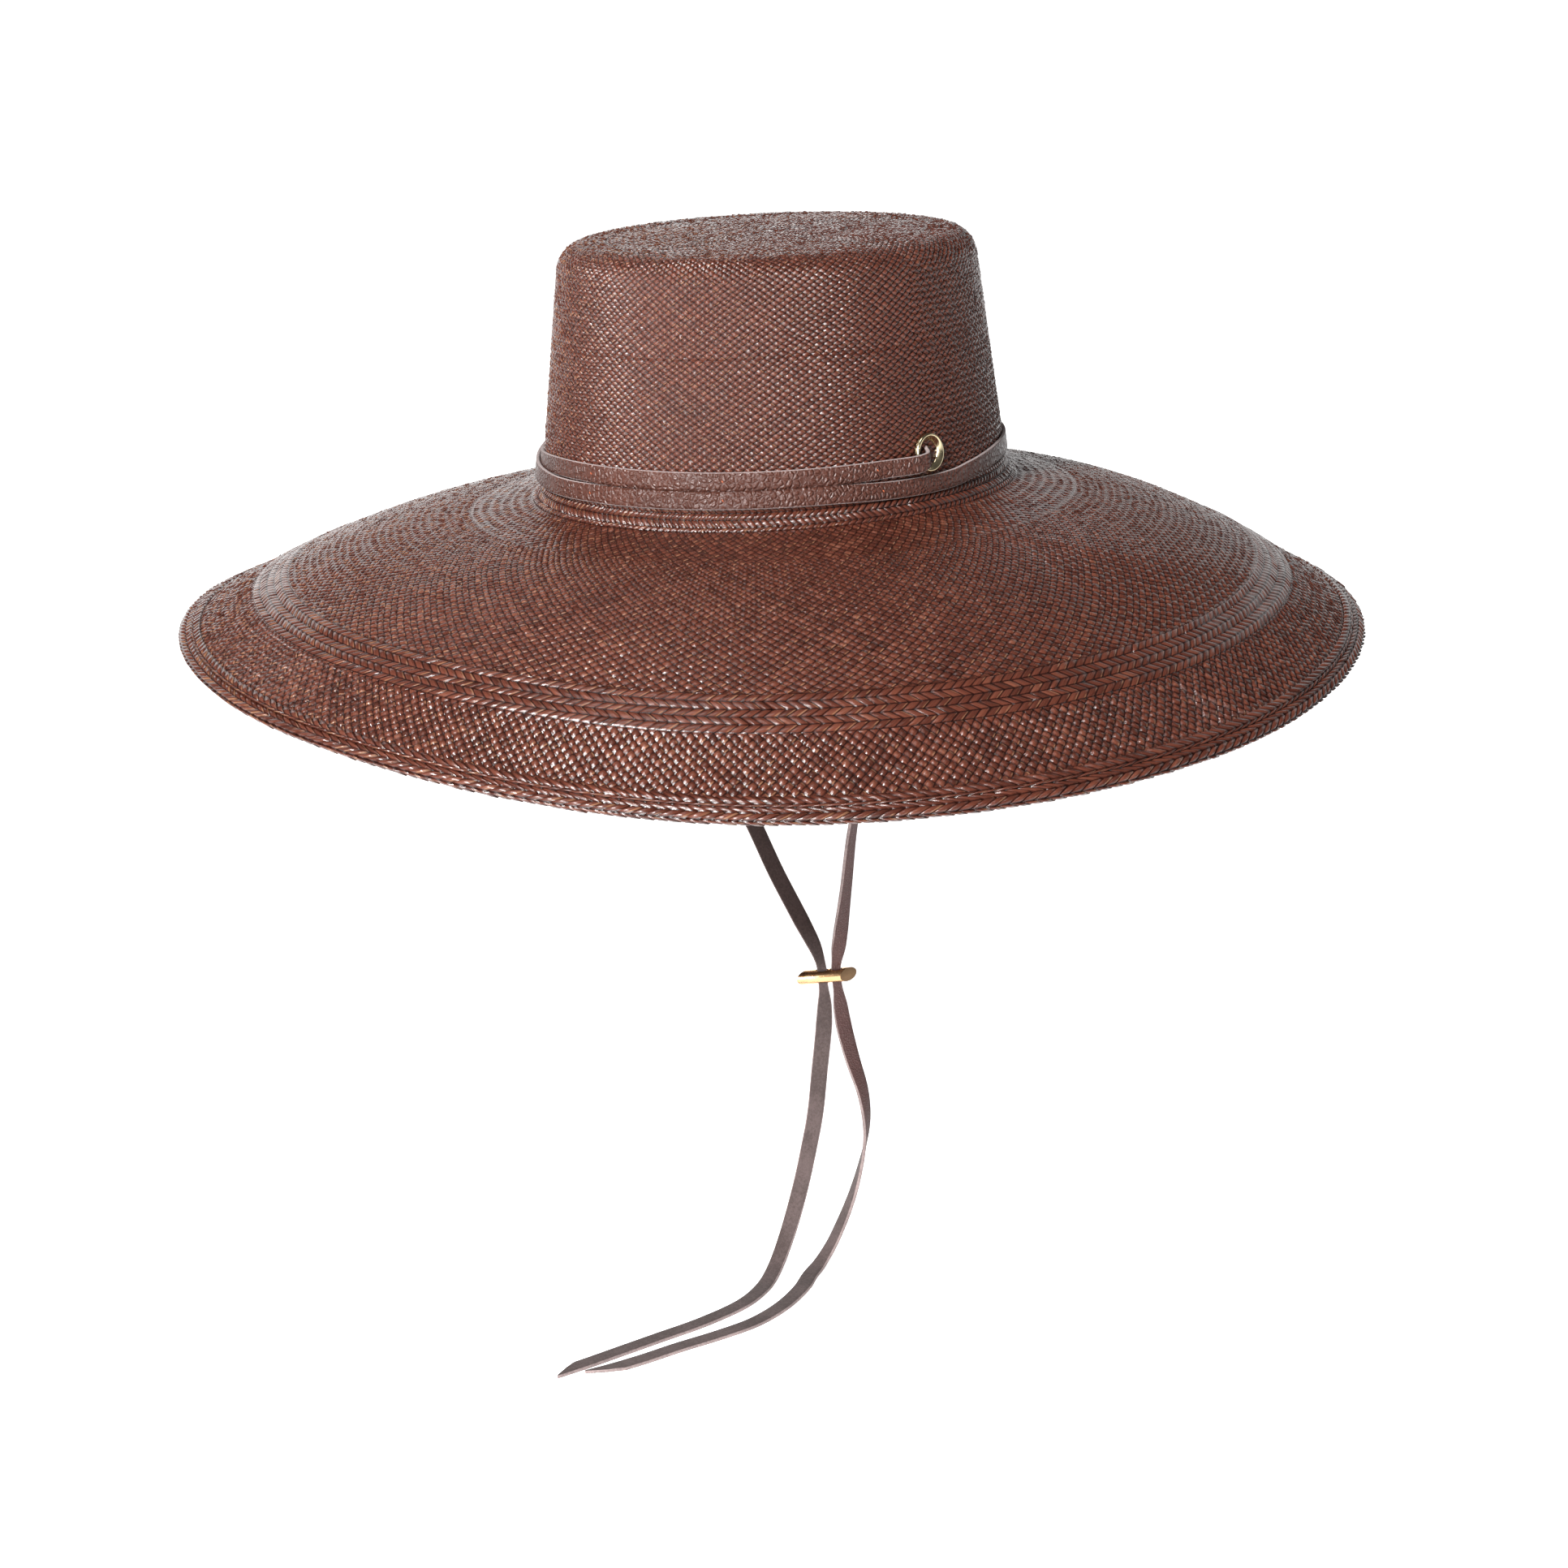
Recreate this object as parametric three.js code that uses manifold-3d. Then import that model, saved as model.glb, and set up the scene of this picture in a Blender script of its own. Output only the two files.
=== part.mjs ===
// Wide-brim woven straw hat with a leather lace wound round its crown, two brass eyelets,
// and the two ends of the lace hanging as chin ties through a brass toggle.
// Millimetres, +Z up. The origin is the centre of the head opening, where the crown's wall
// would meet the brim. The wearer looks along -Y, with the left hand on the +X side.

import * as THREE from 'three';
import { mergeVertices } from 'three/addons/utils/BufferGeometryUtils.js';
import Module from 'manifold-3d';

const wasm = await Module();
wasm.setup();

// Crown
const crownHalfWidth = 83.6;     // outside, ear to ear, at the eyelets' level
const crownHalfLength = 100.6;   // outside, brow to nape, at the eyelets' level
const crownHeight = 100.2;       // top of the tip above the head opening
const tipRise = 1.4;             // how far the flat tip domes
const shoulderRadius = 11;       // rounding between tip and wall
const wallLean = 0.125;          // inward lean of the wall for each millimetre of height
const crownForward = 2.4;        // how much nearer the brow the tip sits than the opening
const strawWall = 1.4;           // thickness of the woven straw

// Brim
const brimWidth = 147;           // from the foot of the wall to the edge
const brimDrop = 60.7;           // height lost from the head opening to the edge
const neckRise = 6;              // height where the wall starts to curve into the brim
const ringLift = 0.5;            // how far the woven ring stands out of the brim
const rimWidth = 8.5;            // braided edge
const rimLift = 0.7;             // how far the braid stands out of either side

// Brass eyelets
const eyeletLevel = 20;
const eyeletBore = 9.7;
const eyeletTube = 0.65;         // wall of the tube through the straw
const eyeletFlange = 15.5;       // diameter of the rolled ring outside
const eyeletRoll = 1.8;          // height of that ring
const washerDiameter = 14;       // flat flange inside
const washerThickness = 0.8;

// Leather lace
const laceWidth = 7;
const laceThickness = 1.4;
const laceChamfer = 0.25;
const laceFoot = 5.8;            // lower edge of the wraps above the head opening
const chinStep = 9;              // about this far between sections of a chin lace

// Brass toggle
const toggleCentre = new THREE.Vector3(24, 0, -211.5);
const toggleDiameter = 5.9;
const toggleLength = 18.4;       // along the middle of the bar
const toggleMitre = 50;          // degrees, both ends cut parallel
const toggleFacing = 45;         // degrees from +X, seen from above
const toggleTilt = 3.4;          // degrees, its +X end is the higher one
const slotLength = 5.2;
const slotWidth = 3;
const slotPlaces = { right: -1.8, left: 4.1 };   // along the bar, from its centre

const clearance = 0.3;
const hatSides = 52;
const eyeletSides = 20;
const toggleSides = 24;
const degree = Math.PI / 180;

// Height lost by the brim, as a share of its drop, at shares of its width
const brimCurve = [
  { out: 0.050, drop: 0.052 },
  { out: 0.146, drop: 0.100 },
  { out: 0.248, drop: 0.148 },
  { out: 0.350, drop: 0.203 },
  { out: 0.452, drop: 0.282 },
  { out: 0.554, drop: 0.382 },
  { out: 0.724, drop: 0.588 },
  { out: 0.860, drop: 0.797 },
  { out: 1.000, drop: 1.010 },
];

// Soft wave of the brim: what its edge drops further, as a share of the drop, by azimuth
const brimWave = [
  { azimuth: 0, drop: 0.187 },
  { azimuth: 45, drop: 0.008 },
  { azimuth: 90, drop: -0.026 },
  { azimuth: 135, drop: 0.024 },
  { azimuth: 180, drop: -0.089 },
  { azimuth: 225, drop: -0.218 },
  { azimuth: 270, drop: -0.072 },
  { azimuth: 315, drop: 0.200 },
];

// Ring of larger stitches round the brim, at shares of its width
const brimRing = [
  { out: 0.685, lift: 0 },
  { out: 0.705, lift: 1 },
  { out: 0.745, lift: 0.3 },
  { out: 0.785, lift: 1 },
  { out: 0.805, lift: 0 },
];

// Braided edge: lift of its upper side, from its inner side to its rounded outer side
const rimBraid = [
  { across: 0.00, lift: 0 },
  { across: 0.12, lift: 1 },
  { across: 0.36, lift: 0.9 },
  { across: 0.46, lift: 0.1 },
  { across: 0.60, lift: 1 },
  { across: 0.88, lift: 0.9 },
];

// Course of the lace round the crown, turning from the left eyelet by way of the brow.
// Lane 0 is the lower wrap and lane 1 the upper one; layer 1 lies on top of the first turn.
const laceWraps = [
  { turn: 12, lane: 1.00, layer: 0 },
  { turn: 50, lane: 1.00, layer: 0 },
  { turn: 100, lane: 1.00, layer: 0 },
  { turn: 126, lane: 0.65, layer: 0 },
  { turn: 150, lane: 0.12, layer: 0 },
  { turn: 168, lane: -0.16, layer: 0 },
  { turn: 192, lane: -0.16, layer: 0 },
  { turn: 216, lane: 0.16, layer: 0 },
  { turn: 270, lane: 0.50, layer: 0 },
  { turn: 324, lane: 0.36, layer: 0 },
  { turn: 345, lane: 0.02, layer: 0 },
  { turn: 353, lane: -0.16, layer: 0 },
  { turn: 369, lane: -0.16, layer: 0 },
  { turn: 390, lane: 0.00, layer: 0 },
  { turn: 436, lane: 0.00, layer: 0 },
  { turn: 448, lane: 0.00, layer: 1 },
  { turn: 464, lane: 0.02, layer: 1 },
  { turn: 488, lane: 0.20, layer: 1 },
  { turn: 512, lane: 0.70, layer: 1 },
  { turn: 528, lane: 1.00, layer: 1 },
];

// Way of the lace over the rolled ring, through the eyelet and down inside the crown, in
// shares of the flange's radius from the eyelet's centre; twist turns the lace's face down
const eyeletPassage = [
  { out: 0.40, along: -1.22, up: -0.44, width: 1.00, twist: 0 },
  { out: 0.44, along: -0.80, up: -0.40, width: 0.96, twist: 0 },
  { out: 0.42, along: -0.40, up: -0.28, width: 0.84, twist: 0 },
  { out: 0.22, along: -0.08, up: -0.20, width: 0.74, twist: 0 },
  { out: -0.15, along: 0.00, up: -0.16, width: 0.72, twist: 6 },
  { out: -0.52, along: 0.00, up: -0.18, width: 0.74, twist: 30 },
  { out: -0.76, along: 0.00, up: -0.48, width: 0.86, twist: 62 },
  { out: -0.84, along: 0.00, up: -1.05, width: 1.00, twist: 85 },
  { out: -0.86, along: 0.00, up: -1.75, width: 1.00, twist: 90 },
];

// Courses of the two chin laces below the eyelets, down through the toggle, and along the
// surface that their ends lie on
const surfaceLevel = -340;
const lyingLevel = surfaceLevel + laceThickness / 2;
const leftLaceAboveToggle = [
  [74.5, 0, -14], [67.5, 0, -44], [58, 0, -80], [49, 0.2, -112], [40, 0.6, -141],
  [34.8, 1, -171], [29.8, 2, -195],
];
const leftLaceBelowToggle = [
  [27.7, 3.6, -221], [28.8, 4.7, -233], [31.3, 7.3, -249], [34.4, 10.3, -264.5],
  [35.6, 11.2, -278], [35.2, 10.4, -289], [33.9, 8.4, -300], [32.2, 5.6, -311],
  [30.4, 1.6, -321.5], [29, -4, -331.5], [29.6, -12.5, -338], [33.5, -23, lyingLevel],
  [39.2, -33.5, lyingLevel], [45.5, -51.8, lyingLevel], [47.8, -70.3, lyingLevel],
  [45.6, -88, lyingLevel], [41.4, -107.5, lyingLevel], [38.4, -125, lyingLevel],
  [35.4, -138, lyingLevel], [32.2, -149, lyingLevel],
];
const rightLaceAboveToggle = [
  [-76.5, 0, -18], [-71.5, 0, -48], [-61, 0, -82], [-45, 0, -116], [-32, 0, -135.5],
  [-18.5, 0, -152.5], [-5, 0, -172], [8.5, 0, -189], [18.6, -0.4, -201.5],
];
const rightLaceBelowToggle = [
  [23.3, -0.9, -221], [23.1, -1.2, -233], [21.6, -2.8, -254], [20, -4.4, -274.5],
  [18, -7, -291.5], [17, -9.6, -303], [16.4, -13.6, -315], [17, -20, -327],
  [19.6, -29, -336], [23.8, -38.5, lyingLevel], [28.6, -49, lyingLevel],
  [31.9, -62, lyingLevel], [31.9, -85, lyingLevel], [28.7, -109, lyingLevel],
  [26.3, -127, lyingLevel], [23.9, -144.5, lyingLevel], [21.5, -158, lyingLevel],
];

// Facing of each chin lace: azimuth of its width, by share of its length
const leftLaceFacing = [
  { along: 0.00, facing: 90 },
  { along: 0.22, facing: 112 },
  { along: 0.36, facing: 95 },
  { along: 0.42, facing: 70 },
  { along: 0.50, facing: 65 },
  { along: 0.58, facing: 88 },
  { along: 0.66, facing: 58 },
  { along: 0.76, facing: 22 },
  { along: 0.88, facing: 0 },
  { along: 1.00, facing: 0 },
];
const rightLaceFacing = [
  { along: 0.00, facing: 90 },
  { along: 0.16, facing: 60 },
  { along: 0.30, facing: 45 },
  { along: 0.66, facing: 40 },
  { along: 0.76, facing: 10 },
  { along: 1.00, facing: 0 },
];

// Width of a chin lace near the toggle that pinches it, as a share of the lace's width, at
// heights away from the toggle's centre in toggle diameters
const togglePinch = [
  { away: 0.0, width: 0.58 },
  { away: 1.0, width: 0.60 },
  { away: 2.2, width: 0.86 },
  { away: 3.6, width: 1.00 },
];

// Smooth value of one column of a table, read between its rows
function readTable(table, place, column, at) {
  let i = table.findIndex((row) => row[place] > at) - 1;
  if (i < 0) i = at < table[0][place] ? 0 : table.length - 2;
  const near = table[i];
  const far = table[i + 1];
  const before = table[i - 1] ?? near;
  const after = table[i + 2] ?? far;
  const span = far[place] - near[place];
  const t = THREE.MathUtils.clamp((at - near[place]) / span, 0, 1);
  const nearSlope = (far[column] - before[column]) / (far[place] - before[place]);
  const farSlope = (after[column] - near[column]) / (after[place] - near[place]);
  return (2 * t ** 3 - 3 * t ** 2 + 1) * near[column] + (t ** 3 - 2 * t ** 2 + t) * span * nearSlope
    + (3 * t ** 2 - 2 * t ** 3) * far[column] + (t ** 3 - t ** 2) * span * farSlope;
}

// The wave's table carried on past both of its ends, so that it closes round the hat
function shifted(rows, by) {
  return rows.map((row) => ({ ...row, azimuth: row.azimuth + by }));
}
const wholeWave = [
  ...shifted(brimWave.slice(-2), -360), ...brimWave, ...shifted(brimWave.slice(0, 2), 360),
];

// Half width of the crown's outside at a height of its straight wall
function wallRadius(z) {
  return crownHalfWidth + wallLean * (eyeletLevel - z);
}
const footRadius = wallRadius(0);
const wallTilt = Math.atan(wallLean);

// Place on the hat of a point of its round profile, drawn out to the oval of a head
const shoulderCentre = new THREE.Vector2(0, crownHeight - tipRise - shoulderRadius);
shoulderCentre.x = wallRadius(shoulderCentre.y) - shoulderRadius / Math.cos(wallTilt);
function onHat(radius, azimuth, z) {
  const longer = (crownHalfLength - crownHalfWidth) * Math.min(1, radius / shoulderCentre.x);
  const forward = crownForward * THREE.MathUtils.clamp(z / crownHeight, 0, 1);
  const out = Math.max(0, (radius - footRadius) / brimWidth);
  const turned = THREE.MathUtils.euclideanModulo(azimuth / degree, 360);
  const wave = out ** 2 * brimDrop * readTable(wholeWave, 'azimuth', 'drop', turned);
  return new THREE.Vector3(
    radius * Math.cos(azimuth),
    (radius + longer) * Math.sin(azimuth) - forward,
    z - wave,
  );
}

// Outer side of the straw in section, from the tip's centre to where the braided edge starts,
// with the brim taken at some shares of its width
function brimPoint(out) {
  return new THREE.Vector2(
    footRadius + out * brimWidth,
    -brimDrop * readTable(brimCurve, 'out', 'drop', out),
  );
}
function crownAndBrimSection(brimShares) {
  const points = [];
  const tipPoints = 4;
  for (let i = 0; i < tipPoints; i += 1) {
    const share = i / tipPoints;
    points.push(new THREE.Vector2(shoulderCentre.x * share, crownHeight - tipRise * share ** 2));
  }
  const shoulderPoints = 5;
  for (let i = 0; i <= shoulderPoints; i += 1) {
    const angle = Math.PI / 2 + (wallTilt - Math.PI / 2) * (i / shoulderPoints);
    points.push(new THREE.Vector2(
      shoulderCentre.x + shoulderRadius * Math.cos(angle),
      shoulderCentre.y + shoulderRadius * Math.sin(angle),
    ));
  }
  const wallTop = points.at(-1).y;
  const wallPoints = 4;
  for (let i = 1; i < wallPoints; i += 1) {
    const z = wallTop + (neckRise - wallTop) * (i / wallPoints);
    points.push(new THREE.Vector2(wallRadius(z), z));
  }
  const brimStart = brimPoint(brimCurve[0].out);
  const neck = new THREE.QuadraticBezierCurve(
    new THREE.Vector2(wallRadius(neckRise), neckRise),
    new THREE.Vector2(wallRadius(brimStart.y / 2), brimStart.y / 2),
    brimStart,
  );
  points.push(...neck.getPoints(4));
  const rimStart = 1 - rimWidth / brimWidth;
  for (const out of brimShares.filter((share) => share < rimStart)) points.push(brimPoint(out));
  points.push(brimPoint(rimStart));
  return points;
}

// The same section moved along its own outward normals
function offsetSection(points, distanceAt) {
  return points.map((point, i) => {
    const before = points[Math.max(0, i - 1)];
    const after = points[Math.min(points.length - 1, i + 1)];
    const along = after.clone().sub(before).normalize();
    const normal = i === 0 ? new THREE.Vector2(0, 1) : new THREE.Vector2(-along.y, along.x);
    return point.clone().addScaledVector(normal, distanceAt(point));
  });
}

function ringHeight(point) {
  const out = (point.x - footRadius) / brimWidth;
  if (out <= brimRing[0].out || out >= brimRing.at(-1).out) return 0;
  return ringLift * readTable(brimRing, 'out', 'lift', out);
}

// Straw body: crown and brim woven in one, hollow, with a thicker braided edge
function strawBody() {
  const shares = [0.1, 0.16, 0.25, 0.35, 0.45, 0.55, 0.62, ...brimRing.map((row) => row.out), 0.87];
  const middle = crownAndBrimSection(shares);
  const outer = offsetSection(middle, ringHeight);
  const plainShares = [0.12, 0.25, 0.38, 0.5, 0.62, 0.75, 0.87];
  const inner = offsetSection(crownAndBrimSection(plainShares), () => -strawWall);
  const rimFrom = middle.at(-1);
  const edge = brimPoint(1);
  const acrossRim = edge.clone().sub(rimFrom);
  const rimNormal = new THREE.Vector2(-acrossRim.y, acrossRim.x).normalize();
  const rimPoint = (across, lift) => rimFrom.clone()
    .addScaledVector(acrossRim, across).addScaledVector(rimNormal, lift);
  const rimTop = rimBraid.slice(1).map((row) => rimPoint(row.across, rimLift * row.lift));
  const rimNose = [rimPoint(1, 0.2 * rimLift), rimPoint(1, -strawWall - 0.2 * rimLift)];
  const rimUnder = [rimPoint(0.86, -strawWall - rimLift), rimPoint(0.16, -strawWall - rimLift)];
  const section = [...outer, ...rimTop, ...rimNose, ...rimUnder, ...inner.reverse()].reverse();
  section[0].x = 0;
  section.at(-1).x = 0;
  const geometry = new THREE.LatheGeometry(section, hatSides);
  geometry.rotateX(Math.PI / 2);
  const position = geometry.attributes.position;
  for (let i = 0; i < position.count; i += 1) {
    const radius = Math.hypot(position.getX(i), position.getY(i));
    const azimuth = Math.atan2(position.getY(i), position.getX(i));
    const placed = onHat(radius, azimuth, position.getZ(i));
    position.setXYZ(i, placed.x, placed.y, placed.z);
  }
  return geometry;
}

// Closed solids that can be cut, and back
function solidFrom(geometry) {
  const plain = geometry.clone();
  plain.deleteAttribute('normal');
  plain.deleteAttribute('uv');
  const merged = mergeVertices(plain, 1e-3);
  const corners = merged.index.array;
  const triVerts = [];
  for (let i = 0; i < corners.length; i += 3) {
    const [a, b, c] = corners.slice(i, i + 3);
    if (a !== b && b !== c && c !== a) triVerts.push(a, b, c);
  }
  const vertProperties = merged.attributes.position.array;
  const mesh = new wasm.Mesh({ numProp: 3, vertProperties, triVerts: new Uint32Array(triVerts) });
  return new wasm.Manifold(mesh);
}
function geometryFrom(solid) {
  const { vertProperties, triVerts } = solid.getMesh();
  const geometry = new THREE.BufferGeometry();
  geometry.setAttribute('position', new THREE.BufferAttribute(vertProperties, 3));
  geometry.setIndex(new THREE.BufferAttribute(triVerts, 1));
  geometry.computeVertexNormals();
  return geometry;
}

// Frame of each eyelet: outward from the straw, along the brow-to-nape line, and up the wall.
// Side is 1 on the wearer's left and -1 on the right.
function eyeletFrame(side) {
  const centre = onHat(wallRadius(eyeletLevel), side > 0 ? 0 : Math.PI, eyeletLevel);
  const outward = new THREE.Vector3(side, 0, wallLean).normalize();
  const along = new THREE.Vector3(0, 1, 0);
  const up = new THREE.Vector3(-side * wallLean, 0, 1).normalize();
  const at = (out, beside, above) => centre.clone()
    .addScaledVector(outward, out).addScaledVector(along, beside).addScaledVector(up, above);
  return { centre, outward, along, up, at };
}

// Hole of the straw round an eyelet's tube
const tubeRadius = eyeletBore / 2 + eyeletTube;
function eyeletHole(side) {
  const { centre, outward } = eyeletFrame(side);
  const reach = 10 * strawWall;
  const radius = tubeRadius + clearance;
  const tool = new THREE.CylinderGeometry(radius, radius, reach, eyeletSides);
  tool.applyQuaternion(new THREE.Quaternion().setFromUnitVectors(new THREE.Vector3(0, 1, 0), outward));
  tool.translate(centre.x, centre.y, centre.z);
  return solidFrom(tool);
}

// Eyelet turned round its own axis: rolled ring outside, tube, flat washer inside
function eyelet() {
  const bore = eyeletBore / 2;
  const ring = eyeletFlange / 2;
  const washer = washerDiameter / 2;
  const crownBend = crownHalfLength ** 2 / crownHalfWidth;
  const washerTop = -strawWall - clearance - washer ** 2 / (2 * crownBend);
  const washerFoot = washerTop - washerThickness;
  const rollTop = clearance + eyeletRoll;
  const middle = (bore + ring) / 2;
  const section = [
    [tubeRadius, washerTop], [tubeRadius, clearance], [ring - 0.2 * eyeletRoll, clearance],
    [ring, clearance + 0.3 * eyeletRoll], [ring - 0.25 * eyeletRoll, clearance + 0.8 * eyeletRoll],
    [middle, rollTop], [bore + 0.25 * eyeletRoll, clearance + 0.8 * eyeletRoll],
    [bore, clearance + 0.3 * eyeletRoll], [bore, washerFoot + 0.3 * washerThickness],
    [bore + 0.3 * washerThickness, washerFoot], [washer, washerFoot], [washer, washerTop],
    [tubeRadius, washerTop],
  ];
  return new THREE.LatheGeometry(section.map(([r, h]) => new THREE.Vector2(r, h)), eyeletSides);
}

// Flat lace: a straight extrusion of its eight-sided section, whose steps are laid on the
// stations of a route. Each station has a place, the direction of the width, and a width.
function ribbon(stations) {
  const half = laceThickness / 2;
  const flat = half - laceChamfer;
  const inset = 0.5 - laceChamfer / laceWidth;
  const section = new THREE.Shape([
    [0.5, -flat], [0.5, flat], [inset, half], [-inset, half],
    [-0.5, flat], [-0.5, -flat], [-inset, -half], [inset, -half],
  ].map(([x, y]) => new THREE.Vector2(x, y)));
  const steps = stations.length - 1;
  const geometry = new THREE.ExtrudeGeometry(section, { steps, depth: steps, bevelEnabled: false });
  const frames = stations.map((station, i) => {
    const before = stations[Math.max(0, i - 1)].at;
    const after = stations[Math.min(steps, i + 1)].at;
    const tangent = after.clone().sub(before).normalize();
    const lean = station.across.dot(tangent);
    const across = station.across.clone().addScaledVector(tangent, -lean).normalize();
    return { across, face: tangent.clone().cross(across) };
  });
  const position = geometry.attributes.position;
  for (let i = 0; i < position.count; i += 1) {
    const step = Math.round(position.getZ(i));
    const placed = stations[step].at.clone()
      .addScaledVector(frames[step].across, stations[step].width * position.getX(i))
      .addScaledVector(frames[step].face, position.getY(i));
    position.setXYZ(i, placed.x, placed.y, placed.z);
  }
  return geometry;
}

// Stations of the lace through an eyelet, from over the rolled ring to inside the crown
function passageStations(side) {
  const frame = eyeletFrame(side);
  const size = eyeletFlange / 2;
  return eyeletPassage.map((row) => ({
    at: frame.at(size * row.out, size * row.along, size * row.up),
    across: frame.up.clone().multiplyScalar(Math.cos(row.twist * degree))
      .addScaledVector(frame.along, side * Math.sin(row.twist * degree)),
    width: laceWidth * row.width,
  }));
}

// Stations of the wraps on the crown's wall
function wrapStations() {
  const stations = [];
  const laneRise = laceWidth + clearance;
  const step = 360 / hatSides;
  const firstTurn = step * Math.ceil(laceWraps[0].turn / step);
  for (let turn = firstTurn; turn <= laceWraps.at(-1).turn; turn += step) {
    const azimuth = -turn * degree;
    const lane = readTable(laceWraps, 'turn', 'lane', turn);
    const layer = readTable(laceWraps, 'turn', 'layer', turn);
    const z = laceFoot + laceWidth / 2 + lane * laneRise;
    const radius = wallRadius(z);
    const length = radius + crownHalfLength - crownHalfWidth;
    const normal = new THREE.Vector3(length * Math.cos(azimuth), radius * Math.sin(azimuth), 0);
    normal.normalize().z = wallLean;
    normal.normalize();
    const depth = clearance + laceThickness / 2 + layer * (clearance + laceThickness);
    stations.push({
      at: onHat(radius, azimuth, z).addScaledVector(normal, depth),
      across: new THREE.Vector3(0, 0, 1).addScaledVector(normal, -normal.z).normalize(),
      width: laceWidth,
    });
  }
  return stations;
}

function bandLace() {
  return ribbon([...passageStations(1).reverse(), ...wrapStations(), ...passageStations(-1)]);
}

// Directions of the toggle: along the bar, level across it, and through it from above
const toggleAlong = new THREE.Vector3(
  Math.cos(toggleFacing * degree) * Math.cos(toggleTilt * degree),
  Math.sin(toggleFacing * degree) * Math.cos(toggleTilt * degree),
  Math.sin(toggleTilt * degree),
);
const toggleAcross = new THREE.Vector3(
  -Math.sin(toggleFacing * degree), Math.cos(toggleFacing * degree), 0,
);
const toggleUp = toggleAlong.clone().cross(toggleAcross);
const toggleTurn = new THREE.Matrix4().makeBasis(toggleAlong, toggleAcross, toggleUp);

function toggle() {
  const radius = toggleDiameter / 2;
  const bar = new THREE.CylinderGeometry(radius, radius, toggleLength, toggleSides);
  bar.rotateZ(-Math.PI / 2);
  const position = bar.attributes.position;
  for (let i = 0; i < position.count; i += 1) {
    position.setX(i, position.getX(i) + position.getY(i) * Math.tan(toggleMitre * degree));
  }
  let solid = solidFrom(bar);
  for (const place of Object.values(slotPlaces)) {
    const slot = new THREE.CylinderGeometry(0.5, 0.5, 2 * toggleDiameter, toggleSides);
    slot.rotateX(Math.PI / 2);
    slot.scale(slotLength, slotWidth, 1);
    slot.translate(place, 0, 0);
    solid = solid.subtract(solidFrom(slot));
  }
  const geometry = geometryFrom(solid);
  geometry.applyMatrix4(toggleTurn);
  return geometry;
}

// Chin lace: from its end of the band lace, down through its slot in the toggle, to its tip
function chinLace(side, above, place, below, facing) {
  const bandEnd = passageStations(side).at(-1).at;
  const start = bandEnd.clone();
  start.z -= 2 * clearance;
  const slotHalf = toggleDiameter / 2;
  const inSlot = [1, 0, -1].map((share) => toggleCentre.clone()
    .addScaledVector(toggleAlong, place).addScaledVector(toggleUp, share * slotHalf));
  const toVector = (point) => new THREE.Vector3(...point);
  const stops = [start, ...above.map(toVector), ...inSlot, ...below.map(toVector)];
  const route = new THREE.CatmullRomCurve3(stops);
  const places = [];
  for (let i = 0; i < stops.length - 1; i += 1) {
    const pieces = Math.max(1, Math.round(stops[i].distanceTo(stops[i + 1]) / chinStep));
    for (let j = 0; j < pieces; j += 1) {
      places.push(route.getPoint((i + j / pieces) / (stops.length - 1)));
    }
  }
  places.push(stops.at(-1));
  const lengths = [0];
  for (let i = 1; i < places.length; i += 1) {
    lengths.push(lengths[i - 1] + places[i].distanceTo(places[i - 1]));
  }
  const stations = places.map((at, i) => {
    const away = Math.min(Math.abs(at.z - toggleCentre.z) / toggleDiameter, togglePinch.at(-1).away);
    const free = THREE.MathUtils.smoothstep(away, 1, togglePinch.at(-1).away);
    const loose = readTable(facing, 'along', 'facing', lengths[i] / lengths.at(-1));
    const azimuth = THREE.MathUtils.lerp(toggleFacing, loose, free) * degree;
    return {
      at,
      across: new THREE.Vector3(Math.cos(azimuth), Math.sin(azimuth), 0),
      width: laceWidth * readTable(togglePinch, 'away', 'width', away),
    };
  });
  return ribbon(stations);
}

// Finishes
const straw = new THREE.MeshStandardMaterial({ color: '#64372a', roughness: 0.45, metalness: 0 });
const leather = new THREE.MeshStandardMaterial({ color: '#6b4a42', roughness: 0.5, metalness: 0 });
const suede = new THREE.MeshStandardMaterial({ color: '#77645e', roughness: 0.9, metalness: 0 });
const brass = new THREE.MeshStandardMaterial({ color: '#d9ae6c', roughness: 0.2, metalness: 1 });
const paleBrass = new THREE.MeshStandardMaterial({ color: '#cdbb8c', roughness: 0.2, metalness: 1 });

const hat = new THREE.Group();
function add(name, geometry, material) {
  const mesh = new THREE.Mesh(geometry, material.clone());
  mesh.name = name;
  hat.add(mesh);
  return mesh;
}

const piercedStraw = solidFrom(strawBody()).subtract(eyeletHole(1)).subtract(eyeletHole(-1));
add('straw_body', geometryFrom(piercedStraw), straw);
for (const [name, side] of [['eyelet_left', 1], ['eyelet_right', -1]]) {
  const mesh = add(name, eyelet(), paleBrass);
  const { centre, outward } = eyeletFrame(side);
  mesh.quaternion.setFromUnitVectors(new THREE.Vector3(0, 1, 0), outward);
  mesh.position.copy(centre);
}
add('band_lace', bandLace(), leather);
add('toggle', toggle(), brass).position.copy(toggleCentre);
add('chin_lace_left',
  chinLace(1, leftLaceAboveToggle, slotPlaces.left, leftLaceBelowToggle, leftLaceFacing), suede);
add('chin_lace_right',
  chinLace(-1, rightLaceAboveToggle, slotPlaces.right, rightLaceBelowToggle, rightLaceFacing), suede);

export default hat;
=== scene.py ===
"""Wide-brim woven straw hat with a wound leather lace, brass eyelets and chin laces.

Sizes are in millimetres, in the solids' own frame, and every mesh is scaled to metres as it
is made. The weave is real relief: each straw crosses over and under on a lattice that goes
round the hat, one lattice for each zone between the tip and the braided edge.
"""

import math

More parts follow.
